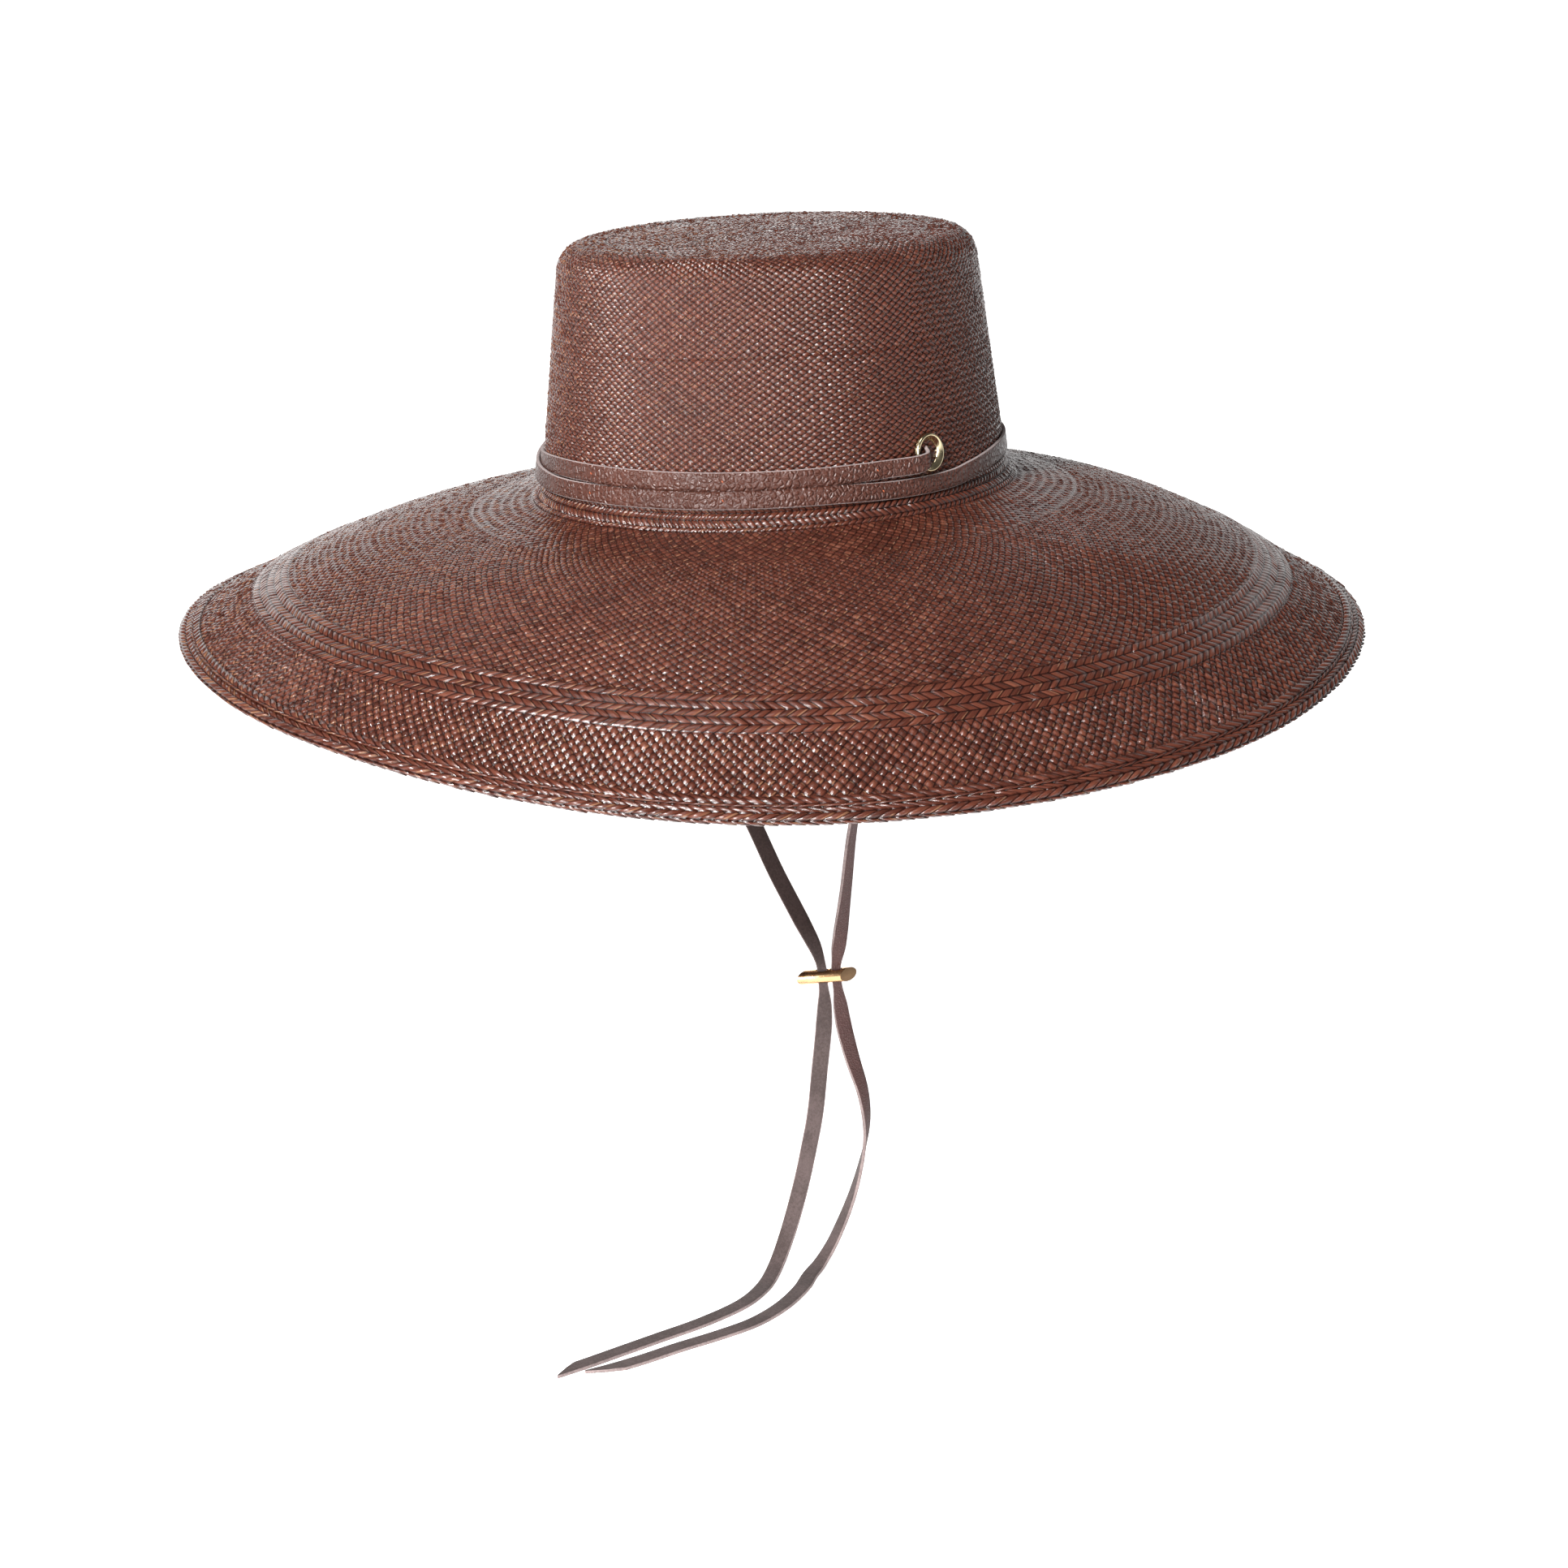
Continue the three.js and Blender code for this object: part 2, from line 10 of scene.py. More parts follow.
import bmesh
import bpy
import numpy as np
from mathutils import Matrix, Vector


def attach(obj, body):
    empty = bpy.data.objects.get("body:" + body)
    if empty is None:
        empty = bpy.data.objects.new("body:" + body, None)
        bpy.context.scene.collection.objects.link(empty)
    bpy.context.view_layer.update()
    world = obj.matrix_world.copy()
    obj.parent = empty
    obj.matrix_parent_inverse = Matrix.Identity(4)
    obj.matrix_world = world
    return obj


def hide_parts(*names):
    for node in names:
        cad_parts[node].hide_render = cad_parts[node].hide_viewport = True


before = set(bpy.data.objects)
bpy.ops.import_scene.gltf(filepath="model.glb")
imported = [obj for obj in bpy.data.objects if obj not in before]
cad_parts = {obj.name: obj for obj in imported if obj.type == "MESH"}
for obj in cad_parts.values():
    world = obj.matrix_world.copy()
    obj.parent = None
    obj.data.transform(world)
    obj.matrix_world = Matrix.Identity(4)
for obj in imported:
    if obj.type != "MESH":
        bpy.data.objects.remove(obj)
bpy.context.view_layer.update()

MM = 0.001
TURN = 2 * math.pi
rng = np.random.default_rng(7)

# Camera

EYE = (912.898, -912.898, 252.127)
EYE_RIGHT = (0.71098885, 0.70297101, -0.0180724)
EYE_UP = (-0.18796911, 0.21475239, 0.95840963)
EYE_FORWARD = (-0.67761528, 0.67802151, -0.28482339)

camera_data = bpy.data.cameras.new("camera")
camera_data.lens = 73.367
camera_data.sensor_width = 36
camera_data.clip_end = 60
camera = bpy.data.objects.new("camera", camera_data)
bpy.context.collection.objects.link(camera)
camera.matrix_world = Matrix([
    [EYE_RIGHT[i], EYE_UP[i], -EYE_FORWARD[i], EYE[i] * MM] for i in range(3)
] + [[0, 0, 0, 1]])
bpy.context.scene.camera = camera

# Sizes, as in the solids

CROWN_HALF_WIDTH = 83.6
CROWN_HALF_LENGTH = 100.6
CROWN_HEIGHT = 100.2
TIP_RISE = 1.4
SHOULDER = 11.0
WALL_LEAN = 0.125
CROWN_FORWARD = 2.4
STRAW = 1.4
BRIM_WIDTH = 147.0
BRIM_DROP = 60.7
NECK_RISE = 6.0
RING_LIFT = 0.5
RIM_WIDTH = 8.5
RIM_LIFT = 0.7
EYELET_LEVEL = 20.0
EYELET_BORE = 9.7
EYELET_TUBE = 0.65
EYELET_FLANGE = 15.5
EYELET_ROLL = 1.8
WASHER_DIAMETER = 14.0
WASHER_THICKNESS = 0.8
LACE_WIDTH = 7.0
LACE_THICKNESS = 1.4
LACE_FOOT = 5.8
TOGGLE_CENTRE = np.array([24.0, 0.0, -211.5])
TOGGLE_DIAMETER = 5.9
TOGGLE_LENGTH = 18.4
TOGGLE_MITRE = math.radians(50)
TOGGLE_FACING = math.radians(45)
TOGGLE_TILT = math.radians(3.4)
SLOT_LENGTH = 5.2
SLOT_WIDTH = 3.0
SLOT_PLACES = {"right": -1.8, "left": 4.1}
GAP = 0.3
FLOOR = -340.0
LYING = FLOOR + LACE_THICKNESS / 2

# Sizes that only this script has: the lace's rounded edges and tips, the two turns' touching
# edges, the tacks, the weave's tip, its depth inside and its share below the solid's surface

LACE_BEVEL = 0.28
LACE_TIP = 0.9
TIP_CUTS = {"left": 15.0, "right": 11.0}
TOUCHING = [15, 27, 84, 93]
TOUCH_OVERLAP = 0.02
TACK_TURNS = (15.5, 52.5, 88.8, 374.7, 412.5, 448.8)
TACK_HALF_LENGTH, TACK_HALF_WIDTH = 0.75, 0.22
TIP_HOLE = 2.0
INSIDE_RELIEF = 0.3
SUNK = 0.45
FIBRE_LONG, FIBRE_APART = 2.0, 8.0
FLOOR_REACH = 24.0
LIT_CENTRE = (0, 0, 20)

# Brim: drop by way out, wave by azimuth and height of the ring by way out, as shares of the
# brim's width, drop and ring

BRIM_CURVE = [
    (0.050, 0.052), (0.146, 0.100), (0.248, 0.148), (0.350, 0.203), (0.452, 0.282),
    (0.554, 0.382), (0.724, 0.588), (0.860, 0.797), (1.000, 1.010),
]
BRIM_WAVE = [
    (0, 0.187), (45, 0.008), (90, -0.026), (135, 0.024), (180, -0.089), (225, -0.218),
    (270, -0.072), (315, 0.200),
]
BRIM_RING = [(0.685, 0), (0.705, 1), (0.745, 0.3), (0.785, 1), (0.805, 0)]

# Wound lace: turn in degrees, lane up the wall and layer off it. Through an eyelet: out, beside
# and above its centre as shares of its half size, share of the lace's width, and twist

LACE_WRAPS = [
    (12, 1.00, 0), (50, 1.00, 0), (100, 1.00, 0), (126, 0.65, 0), (150, 0.12, 0),
    (168, -0.16, 0), (192, -0.16, 0), (216, 0.16, 0), (270, 0.50, 0), (324, 0.36, 0),
    (345, 0.02, 0), (353, -0.16, 0), (369, -0.16, 0), (390, 0.00, 0), (447, 0.00, 0),
    (459, 0.00, 1), (468, 0.02, 1), (488, 0.20, 1), (512, 0.70, 1), (528, 1.00, 1),
]
EYELET_PASSAGE = [
    (0.40, -1.22, -0.44, 1.00, 0), (0.44, -0.80, -0.40, 0.96, 0), (0.42, -0.40, -0.28, 0.84, 0),
    (0.22, -0.20, -0.14, 0.80, 0), (0.04, 0.02, 0.04, 0.82, -30), (-0.12, 0.18, 0.14, 0.84, -64),
    (-0.26, 0.20, -0.14, 0.85, -84), (-0.50, 0.18, -0.60, 0.92, -90),
    (-0.72, 0.08, -1.12, 1.00, -90), (-0.86, 0.00, -1.75, 1.00, -90),
]

# Hanging laces: stops above and below the toggle, and which way the first side faces, in
# degrees, by share of the length. Width of a lace near the toggle, by bar thicknesses from it

LEFT_ABOVE = [
    (74.5, 0, -14), (67.5, 0, -44), (58, 0, -80), (49, 0.2, -112), (40, 0.6, -141),
    (34.8, 1, -171), (29.8, 2, -195),
]
LEFT_BELOW = [
    (27.7, 3.6, -221), (28.8, 4.7, -233), (31.3, 7.3, -249), (34.4, 10.3, -264.5),
    (35.6, 11.2, -278), (35.2, 10.4, -289), (33.9, 8.4, -300), (32.2, 5.6, -311),
    (30.4, 1.6, -321.5), (29, -4, -331.5), (29.6, -12.5, -338), (33.5, -23, LYING),
    (39.2, -33.5, LYING), (45.5, -51.8, LYING), (47.8, -70.3, LYING), (45.6, -88, LYING),
    (41.4, -107.5, LYING), (38.4, -125, LYING), (35.4, -138, LYING), (32.2, -149, LYING),
]
RIGHT_ABOVE = [
    (-76.5, 0, -18), (-71.5, 0, -48), (-61, 0, -82), (-45, 0, -116), (-32, 0, -135.5),
    (-18.5, 0, -152.5), (-5, 0, -172), (8.5, 0, -189), (18.6, -0.4, -201.5),
]
RIGHT_BELOW = [
    (23.3, -0.9, -221), (23.1, -1.2, -233), (21.6, -2.8, -254), (20, -4.4, -274.5),
    (18, -7, -291.5), (17, -9.6, -303), (16.4, -13.6, -315), (17, -20, -327),
    (19.6, -29, -336), (23.8, -38.5, LYING), (28.6, -49, LYING), (31.9, -62, LYING),
    (31.9, -85, LYING), (28.7, -109, LYING), (26.3, -127, LYING), (23.9, -144.5, LYING),
    (21.5, -158, LYING),
]
LEFT_FACING = [
    (0.00, 90), (0.22, 112), (0.36, 95), (0.42, 70), (0.50, 70), (0.56, 100), (0.615, 135),
    (0.68, 160), (0.80, 180), (1.00, 180),
]
RIGHT_FACING = [(0.00, 90), (0.16, 60), (0.30, 45), (0.66, 40), (0.76, 10), (1.00, 0)]
TOGGLE_PINCH = [(0.0, 0.58), (1.0, 0.60), (2.2, 0.86), (3.6, 1.00)]


def read_table(table, at, column=1):
    """Smooth value of one column at each place, read between the rows as the solids are."""
    rows = np.array(table, float)
    x, y = rows[:, 0], rows[:, column]
    slope = np.empty_like(y)
    slope[1:-1] = (y[2:] - y[:-2]) / (x[2:] - x[:-2])
    slope[0] = (y[1] - y[0]) / (x[1] - x[0])
    slope[-1] = (y[-1] - y[-2]) / (x[-1] - x[-2])
    at = np.asarray(at, float)
    i = np.clip(np.searchsorted(x, at, side="right") - 1, 0, len(x) - 2)
    span = x[i + 1] - x[i]
    t = np.clip((at - x[i]) / span, 0, 1)
    return ((2 * t**3 - 3 * t**2 + 1) * y[i] + (t**3 - 2 * t**2 + t) * span * slope[i]
            + (3 * t**2 - 2 * t**3) * y[i + 1] + (t**3 - t**2) * span * slope[i + 1])


WHOLE_WAVE = ([(a - 360, d) for a, d in BRIM_WAVE[-2:]] + BRIM_WAVE
              + [(a + 360, d) for a, d in BRIM_WAVE[:2]])


def wall_radius(z):
    return CROWN_HALF_WIDTH + WALL_LEAN * (EYELET_LEVEL - z)


FOOT = wall_radius(0)
WALL_TILT = math.atan(WALL_LEAN)
SHOULDER_Z = CROWN_HEIGHT - TIP_RISE - SHOULDER
SHOULDER_R = wall_radius(SHOULDER_Z) - SHOULDER / math.cos(WALL_TILT)


def on_hat(radius, azimuth, z):
    """Place on the hat of a point of its round profile, drawn out to the oval of a head."""
    longer = (CROWN_HALF_LENGTH - CROWN_HALF_WIDTH) * np.minimum(1, radius / SHOULDER_R)
    forward = CROWN_FORWARD * np.clip(z / CROWN_HEIGHT, 0, 1)
    out = np.maximum(0, (radius - FOOT) / BRIM_WIDTH)
    wave = out**2 * BRIM_DROP * read_table(WHOLE_WAVE, np.degrees(azimuth) % 360)
    return np.stack([
        radius * np.cos(azimuth), (radius + longer) * np.sin(azimuth) - forward, z - wave,
    ], axis=-1)


def unit(v):
    v = np.asarray(v, float)
    return v / np.linalg.norm(v, axis=-1, keepdims=True)


# Materials

WHITE, BLACK = (1, 1, 1), (0, 0, 0)
SMOOTH = {"interpolation_type": "SMOOTHSTEP"}
# heights in metres over which the chin lace's painted shade fades in, from the toggle upwards
PAINTED_SHADE_FROM, PAINTED_SHADE_TO = -0.212, -0.19


class Look:
    """Node material. A value given to one of its nodes is joined to it where it is a socket,
    and set where it is a number, a vector or a colour."""

    def __init__(self, name):
        self.material = bpy.data.materials.new(name)
        self.material.use_nodes = True
        self.tree = self.material.node_tree
        self.place = self.add("TexCoord").outputs["Object"]

    def put(self, socket, value):
        if isinstance(value, bpy.types.NodeSocket):
            self.tree.links.new(value, socket)
        else:
            socket.default_value = (*value, 1) if socket.type == "RGBA" else value

    def add(self, kind, *values, **settings):
        """New node with its settings and its first inputs in order, where None leaves one be."""
        node = self.tree.nodes.new("ShaderNode" + kind)
        for key, value in settings.items():
            setattr(node, key, value)
        for socket, value in zip(node.inputs, values):
            if value is not None:
                self.put(socket, value)
        return node

    def finish(self, **inputs):
        """Sets the shader's inputs, named with underscores for spaces."""
        shader = self.tree.nodes["Principled BSDF"]
        for key, value in inputs.items():
            self.put(shader.inputs[key.replace("_", " ")], value)
        return self.material

    def attribute(self, name):
        return self.add("Attribute", attribute_name=name).outputs["Fac"]

    def part(self, vector, axis):
        return self.add("SeparateXYZ", vector).outputs[axis]

    def drawn(self, place, scale):
        return self.add("Mapping", place, None, None, scale).outputs[0]

    def noise(self, place, scale, detail, rough, output="Fac"):
        return self.add("TexNoise", place, None, scale, detail, rough).outputs[output]

    def cells(self, place, scale):
        """Distance from the edges of the cells round scattered points."""
        node = self.add("TexVoronoi", place, None, scale, feature="DISTANCE_TO_EDGE")
        return node.outputs["Distance"]

    def math(self, kind, a, b=0.0, c=0.0):
        return self.add("Math", a, b, c, operation=kind).outputs[0]

    def blend(self, a, share_a, b, share_b):
        return self.math("ADD", self.math("MULTIPLY", a, share_a),
                         self.math("MULTIPLY", b, share_b))

    def span(self, value, start, stop, low, high, **settings):
        """Value from start to stop brought to the range from low to high."""
        return self.add("MapRange", value, start, stop, low, high, **settings).outputs[0]

    def ramp(self, factor, *stops):
        """Colour ramp with the given (place, colour) stops."""
        node = self.add("ValToRGB", factor)
        elements = node.color_ramp.elements
        while len(elements) < len(stops):
            elements.new(0.5)
        for element, (place, colour) in zip(elements, stops):
            element.position = place
            element.color = (*colour, 1)
        return node.outputs[0]

    def mix(self, kind, factor, a, b):
        """Two colours mixed, multiplied or otherwise blended."""
        node = self.add("Mix", data_type="RGBA", blend_type=kind)
        for number, value in ((0, factor), (6, a), (7, b)):
            self.put(node.inputs[number], value)
        return node.outputs[2]

    def bump(self, height, strength, depth):
        """Fine relief from a height map, its depth in metres."""
        node = self.add("Bump")
        for key, value in (("Strength", strength), ("Distance", depth), ("Height", height)):
            self.put(node.inputs[key], value)
        return node.outputs[0]


def straw_look():
    """Dyed straw. The map named fibre runs along each straw in u and across it in v."""
    look = Look("straw_dyed")
    fibre = look.add("UVMap", uv_map="fibre").outputs[0]
    streak = look.noise(look.drawn(fibre, (0.12, 4.2, 1.0)), 1.6, 3.0, 0.6)
    broad = look.noise(look.drawn(fibre, (0.05, 1.4, 1.0)), 1.0, 2.0, 0.5)
    patch = look.noise(look.place, 14.0, 3.0, 0.55)
    base = look.ramp(
        look.blend(look.attribute("tone"), 0.62, broad, 0.38),
        (0.1, (0.036, 0.0098, 0.006)), (0.4, (0.073, 0.0198, 0.0118)),
        (0.62, (0.11, 0.0315, 0.0185)), (0.92, (0.17, 0.062, 0.037)))
    base = look.mix("MULTIPLY", 0.8, base, look.ramp(
        streak, (0.34, (0.62, 0.58, 0.56)), (0.52, WHITE)))
    base = look.mix("MULTIPLY", 0.6, base, look.ramp(
        patch, (0.3, (0.8, 0.76, 0.74)), (0.7, WHITE)))

    # one thin pale fibre along the edge of some straws, where the dye has not taken
    across = look.math("MULTIPLY", look.math("MODULO", look.part(fibre, 1), FIBRE_APART), 0.5)
    line = look.ramp(across, (0.76, BLACK), (0.82, WHITE), (0.9, WHITE), (0.96, BLACK))
    some = look.ramp(look.noise(look.drawn(fibre, (0.35, 0.14, 1.0)), 1.0, 1.0, 0.5),
                     (0.5, BLACK), (0.6, WHITE))
    undyed = look.math("MULTIPLY", look.math("MULTIPLY", line, some), 0.5)
    base = look.mix("MIX", undyed, base, (0.34, 0.18, 0.1))

    # painted shade: darker in the gaps between the straws, darkest where the gaps cross
    painted_gap_shade = look.ramp(look.attribute("low"), (0.1, WHITE), (0.5, (0.3, 0.22, 0.2)),
                       (0.9, (0.08, 0.05, 0.045)))

    # each straw swells a little between its two ends, and across
    along = look.math("SUBTRACT", look.math("MODULO", look.part(fibre, 0), FIBRE_LONG), 1.0)
    end_fall = look.math("POWER", look.math("ABSOLUTE", along), 2.2)
    side = look.math("ABSOLUTE", look.math("MULTIPLY_ADD", across, 2.0, -1.0))
    side_fall = look.math("MULTIPLY", look.math("POWER", side, 3.0), 0.5)
    fall = look.math("MULTIPLY", look.math("ADD", end_fall, side_fall),
                     look.math("MULTIPLY", look.attribute("swell"), -0.3))
    height = look.math("ADD", fall, look.blend(streak, 0.07, broad, 0.04))
    return look.finish(
        Base_Color=look.mix("MULTIPLY", 1.0, base, painted_gap_shade),
        Roughness=look.span(streak, 0.3, 0.7, 0.17, 0.3), Specular_IOR_Level=0.46,
        Coat_Weight=0.1, Coat_Roughness=0.22, Normal=look.bump(height, 1.0, 0.001))


def leather_look(name, light, dark, rough, pebbles, depth):
    """Grained leather: rounded pebbles, so many to the metre, between fine creases, with a little
    painted shade in the creases.
    """
    look = Look(name)
    moved = look.add(
        "VectorMath", look.noise(look.place, 260.0, 2.0, 0.5, "Color"), (0.0006, 0.0006, 0.0006),
        look.place, operation="MULTIPLY_ADD").outputs[0]
    crease = look.span(look.cells(moved, pebbles), 0.0, 0.3, 0.0, 1.0, **SMOOTH)
    fine = look.span(look.cells(moved, pebbles * 2.3), 0.0, 0.2, 0.0, 1.0)
    base = look.ramp(look.noise(look.place, 38.0, 3.0, 0.55), (0.3, dark), (0.7, light))
    # painted shade: the creases between the pebbles are multiplied a little darker
    painted_crease_shade = look.ramp(crease, (0.0, (0.7, 0.66, 0.64)), (0.3, WHITE))
    return look.finish(
        Base_Color=look.mix("MULTIPLY", 0.45, base, painted_crease_shade),
        Roughness=look.span(crease, 0.0, 1.0, rough + 0.16, rough), Specular_IOR_Level=0.5,
        Normal=look.bump(look.blend(crease, 0.88, fine, 0.12), 0.9, depth))


def napped_look(name, light, dark, sheen, painted_shade=None):
    """Suede or the cut edge of leather: short fibres with no gloss. The optional last colour is
    multiplied in as painted shade above the toggle, up to the head, where the brim shades the lace."""
    look = Look(name)
    nap = look.noise(look.place, 1000.0, 4.0, 0.7)
    patch = look.noise(look.place, 70.0, 3.0, 0.55)
    base = look.ramp(look.blend(nap, 0.6, patch, 0.4), (0.42, dark), (0.58, light))
    # painted shade: darker above the toggle, where the brim shades the lace
    if painted_shade:
        level = look.part(look.place, 2)
        base = look.mix("MULTIPLY", look.span(level, PAINTED_SHADE_FROM, PAINTED_SHADE_TO, 0.0, 1.0, **SMOOTH),
                        base, painted_shade)
    return look.finish(
        Base_Color=base, Roughness=0.92, Specular_IOR_Level=0.25, Sheen_Weight=sheen,
        Sheen_Roughness=0.6, Normal=look.bump(nap, 0.8, 0.0003))


def brass_look(name, colour, rough, brushed):
    """Polished brass with faint handling marks; brushed is how strongly it is rubbed."""
    look = Look(name)
    mark = look.noise(look.place, 420.0, 4.0, 0.6)
    rub = look.noise(look.drawn(look.place, (300.0, 300.0, 5000.0)), 1.0, 2.0, 0.5)
    tarnish = look.noise(look.place, 120.0, 3.0, 0.5)
    darker = tuple(c * 0.72 for c in colour)
    return look.finish(
        Base_Color=look.ramp(tarnish, (0.35, darker), (0.6, colour)), Metallic=1.0,
        Roughness=look.span(mark, 0.3, 0.7, rough, rough + 0.12),
        Normal=look.bump(rub, brushed, 0.00004))


def floor_look():
    """Pale seamless paper, lit from within a little more the farther it is from the hat, and
    less in front."""
    look = Look("floor_pale")
    away = look.add("VectorMath", look.place, operation="LENGTH").outputs["Value"]
    front = look.add("VectorMath", look.place, (0.7071, -0.7071, 0),
                     operation="DOT_PRODUCT").outputs["Value"]
    glow = look.math("MULTIPLY", look.span(away, 0.3, 4.0, 0.88, 1.0),
                     look.span(front, 0.3, 1.5, 1.0, 0.7, **SMOOTH))
    cloud = look.noise(look.place, 0.8, 2.0, 0.5)
    return look.finish(
        Base_Color=look.ramp(cloud, (0.3, (0.9, 0.9, 0.9)), (0.7, (0.93, 0.93, 0.93))),
        Roughness=0.9, Specular_IOR_Level=0.1, Emission_Color=WHITE, Emission_Strength=glow)


STRAW_LOOK = straw_look()
LEATHER = leather_look(
    "leather_grained", (0.078, 0.026, 0.017), (0.056, 0.0185, 0.012), 0.27, 480.0, 0.0005)
LEATHER_DARK = leather_look(
    "leather_smooth", (0.07, 0.025, 0.0215), (0.053, 0.0185, 0.016), 0.5, 900.0, 0.0002)
CUT_EDGE = napped_look("leather_cut_edge", (0.29, 0.225, 0.215), (0.19, 0.145, 0.14), 0.1)
SUEDE_PAIR = (0.095, 0.069, 0.066), (0.06, 0.043, 0.04)
SUEDE = napped_look("suede", *SUEDE_PAIR, 0.06)
# the same suede with painted shade above the toggle, where the brim shades the lace
SUEDE_PAINTED_SHADE = napped_look("suede_painted_shade", *SUEDE_PAIR, 0.06, (0.5, 0.42, 0.4))
BRASS = brass_look("brass_polished", (0.84, 0.52, 0.27), 0.16, 0.1)
BRASS_BRUSHED = brass_look("brass_brushed", (0.2, 0.125, 0.07), 0.45, 0.9)
THREAD = napped_look("thread_orange", (0.5, 0.13, 0.05), (0.36, 0.08, 0.03), 0.1)
PALE_BRASS = brass_look("pale_brass_polished", (0.78, 0.66, 0.42), 0.15, 0.1)


# Pieces


def new_object(name, points, faces, materials, face_materials=None):
    """Mesh piece in metres, from points in millimetres, riding on the hat."""
    mesh = bpy.data.meshes.new(name)
    mesh.from_pydata((np.asarray(points, float) * MM).tolist(), [], faces)
    for material in materials:
        mesh.materials.append(material)
    if face_materials is not None:
        mesh.polygons.foreach_set("material_index", np.asarray(face_materials, np.int32))
    mesh.polygons.foreach_set("use_smooth", np.ones(len(mesh.polygons), bool))
    mesh.update()
    piece = bpy.data.objects.new(name, mesh)
    bpy.context.collection.objects.link(piece)
    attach(piece, "root")
    return piece


def catmull_rom(stops, per_piece):
    """Centripetal curve through the stops, with some points in each stretch between them."""
    stops = np.asarray(stops, float)
    whole = np.vstack([2 * stops[0] - stops[1], stops, 2 * stops[-1] - stops[-2]])
    points = []
    for i in range(len(stops) - 1):
        p0, p1, p2, p3 = whole[i:i + 4]
        d0, d1, d2 = (np.linalg.norm(b - a) ** 0.5 for a, b in ((p0, p1), (p1, p2), (p2, p3)))
        m1 = ((p1 - p0) / d0 - (p2 - p0) / (d0 + d1) + (p2 - p1) / d1) * d1
        m2 = ((p2 - p1) / d1 - (p3 - p1) / (d1 + d2) + (p3 - p2) / d2) * d1
        steps = per_piece(np.linalg.norm(p2 - p1))
        t = (np.arange(steps) / steps)[:, None]
        points.append(p1 + m1 * t + (3 * (p2 - p1) - 2 * m1 - m2) * t**2
                      + (2 * (p1 - p2) + m1 + m2) * t**3)
    return np.vstack(points + [stops[-1:]])


def ring_quads(rows, columns, closed=False):
    """Quads between neighbouring rings of points, and from the last to the first if closed."""
    i, j = np.meshgrid(np.arange(rows if closed else rows - 1), np.arange(columns), indexing="ij")
    after, beside = (i + 1) % rows * columns, (j + 1) % columns
    quads = np.stack([i * columns + j, i * columns + beside, after + beside, after + j], -1)
    return quads.reshape(-1, 4)


def ribbon(centre, across, width, edge_cut=None, flush=None):
    """Flat lace: points and faces of a rounded flat section along a line, and what each face
    is on: 0 and 1 its two sides, 2 the cut edges. Given is either how much is cut from each
    edge, or how closely each edge lies against a neighbour, from 0 to 1."""
    half, bevel = LACE_THICKNESS / 2, LACE_BEVEL
    side = np.array([
        (0.5, -half + bevel), (0.5, half - bevel), (0.5, half),
        (0.25, half), (0, half), (-0.25, half),
        (-0.5, half), (-0.5, half - bevel), (-0.5, -half + bevel), (-0.5, -half),
        (-0.25, -half), (0, -half), (0.25, -half), (0.5, -half),
    ])
    inset = np.zeros(len(side))
    inset[[2, 6, 9, 13]] = bevel * np.array([-1, 1, 1, -1])
    kind = [2, 2, 0, 0, 0, 0, 2, 2, 2, 1, 1, 1, 1, 2]
    tangent = unit(np.gradient(centre, axis=0))
    across = unit(across - tangent * np.sum(across * tangent, axis=1, keepdims=True))
    face = np.cross(tangent, across)
    x = side[None, :, 0] * width[:, None]
    if flush is None:
        low, high = edge_cut[:, :1] - width[:, None] / 2, width[:, None] / 2 - edge_cut[:, 1:]
        x = np.clip(x + inset, low + (inset > 0) * bevel, high - (inset < 0) * bevel)
    else:
        close = np.where(side[None, :, 0] < 0, flush[:, :1], flush[:, 1:])
        rim_of = (np.abs(side[None, :, 0]) == 0.5) * np.sign(side[None, :, 0])
        x = x + inset * (1 - close) + rim_of * close * (GAP / 2 + TOUCH_OVERLAP)
    points = (centre[:, None] + across[:, None] * x[..., None]
              + face[:, None] * side[None, :, 1, None])
    n, k = points.shape[:2]
    faces = ring_quads(n, k).tolist()
    faces += [list(range(k - 1, -1, -1)), list(range((n - 1) * k, n * k))]
    return points.reshape(-1, 3), faces, kind * (n - 1) + [2, 2]


def eyelet_frame(side):
    """Centre of an eyelet, and the ways outward from the straw, along the head and up."""
    centre = on_hat(np.array(wall_radius(EYELET_LEVEL)), 0.0 if side > 0 else math.pi,
                    np.array(EYELET_LEVEL))
    outward = unit([side, 0, WALL_LEAN])
    along = np.array([0.0, 1.0, 0.0])
    up = unit([-side * WALL_LEAN, 0, 1])
    return centre, outward, along, up


def passage(side):
    """Places, width directions and widths of the lace through an eyelet."""
    centre, outward, along, up = eyelet_frame(side)
    size = EYELET_FLANGE / 2
    places, across, width = [], [], []
    for out, beside, above, share, twist in EYELET_PASSAGE:
        places.append(centre + size * (out * outward + beside * along + above * up))
        turn = math.radians(twist)
        across.append(up * math.cos(turn) + along * side * math.sin(turn))
        width.append(LACE_WIDTH * share)
    return np.array(places), np.array(across), np.array(width)


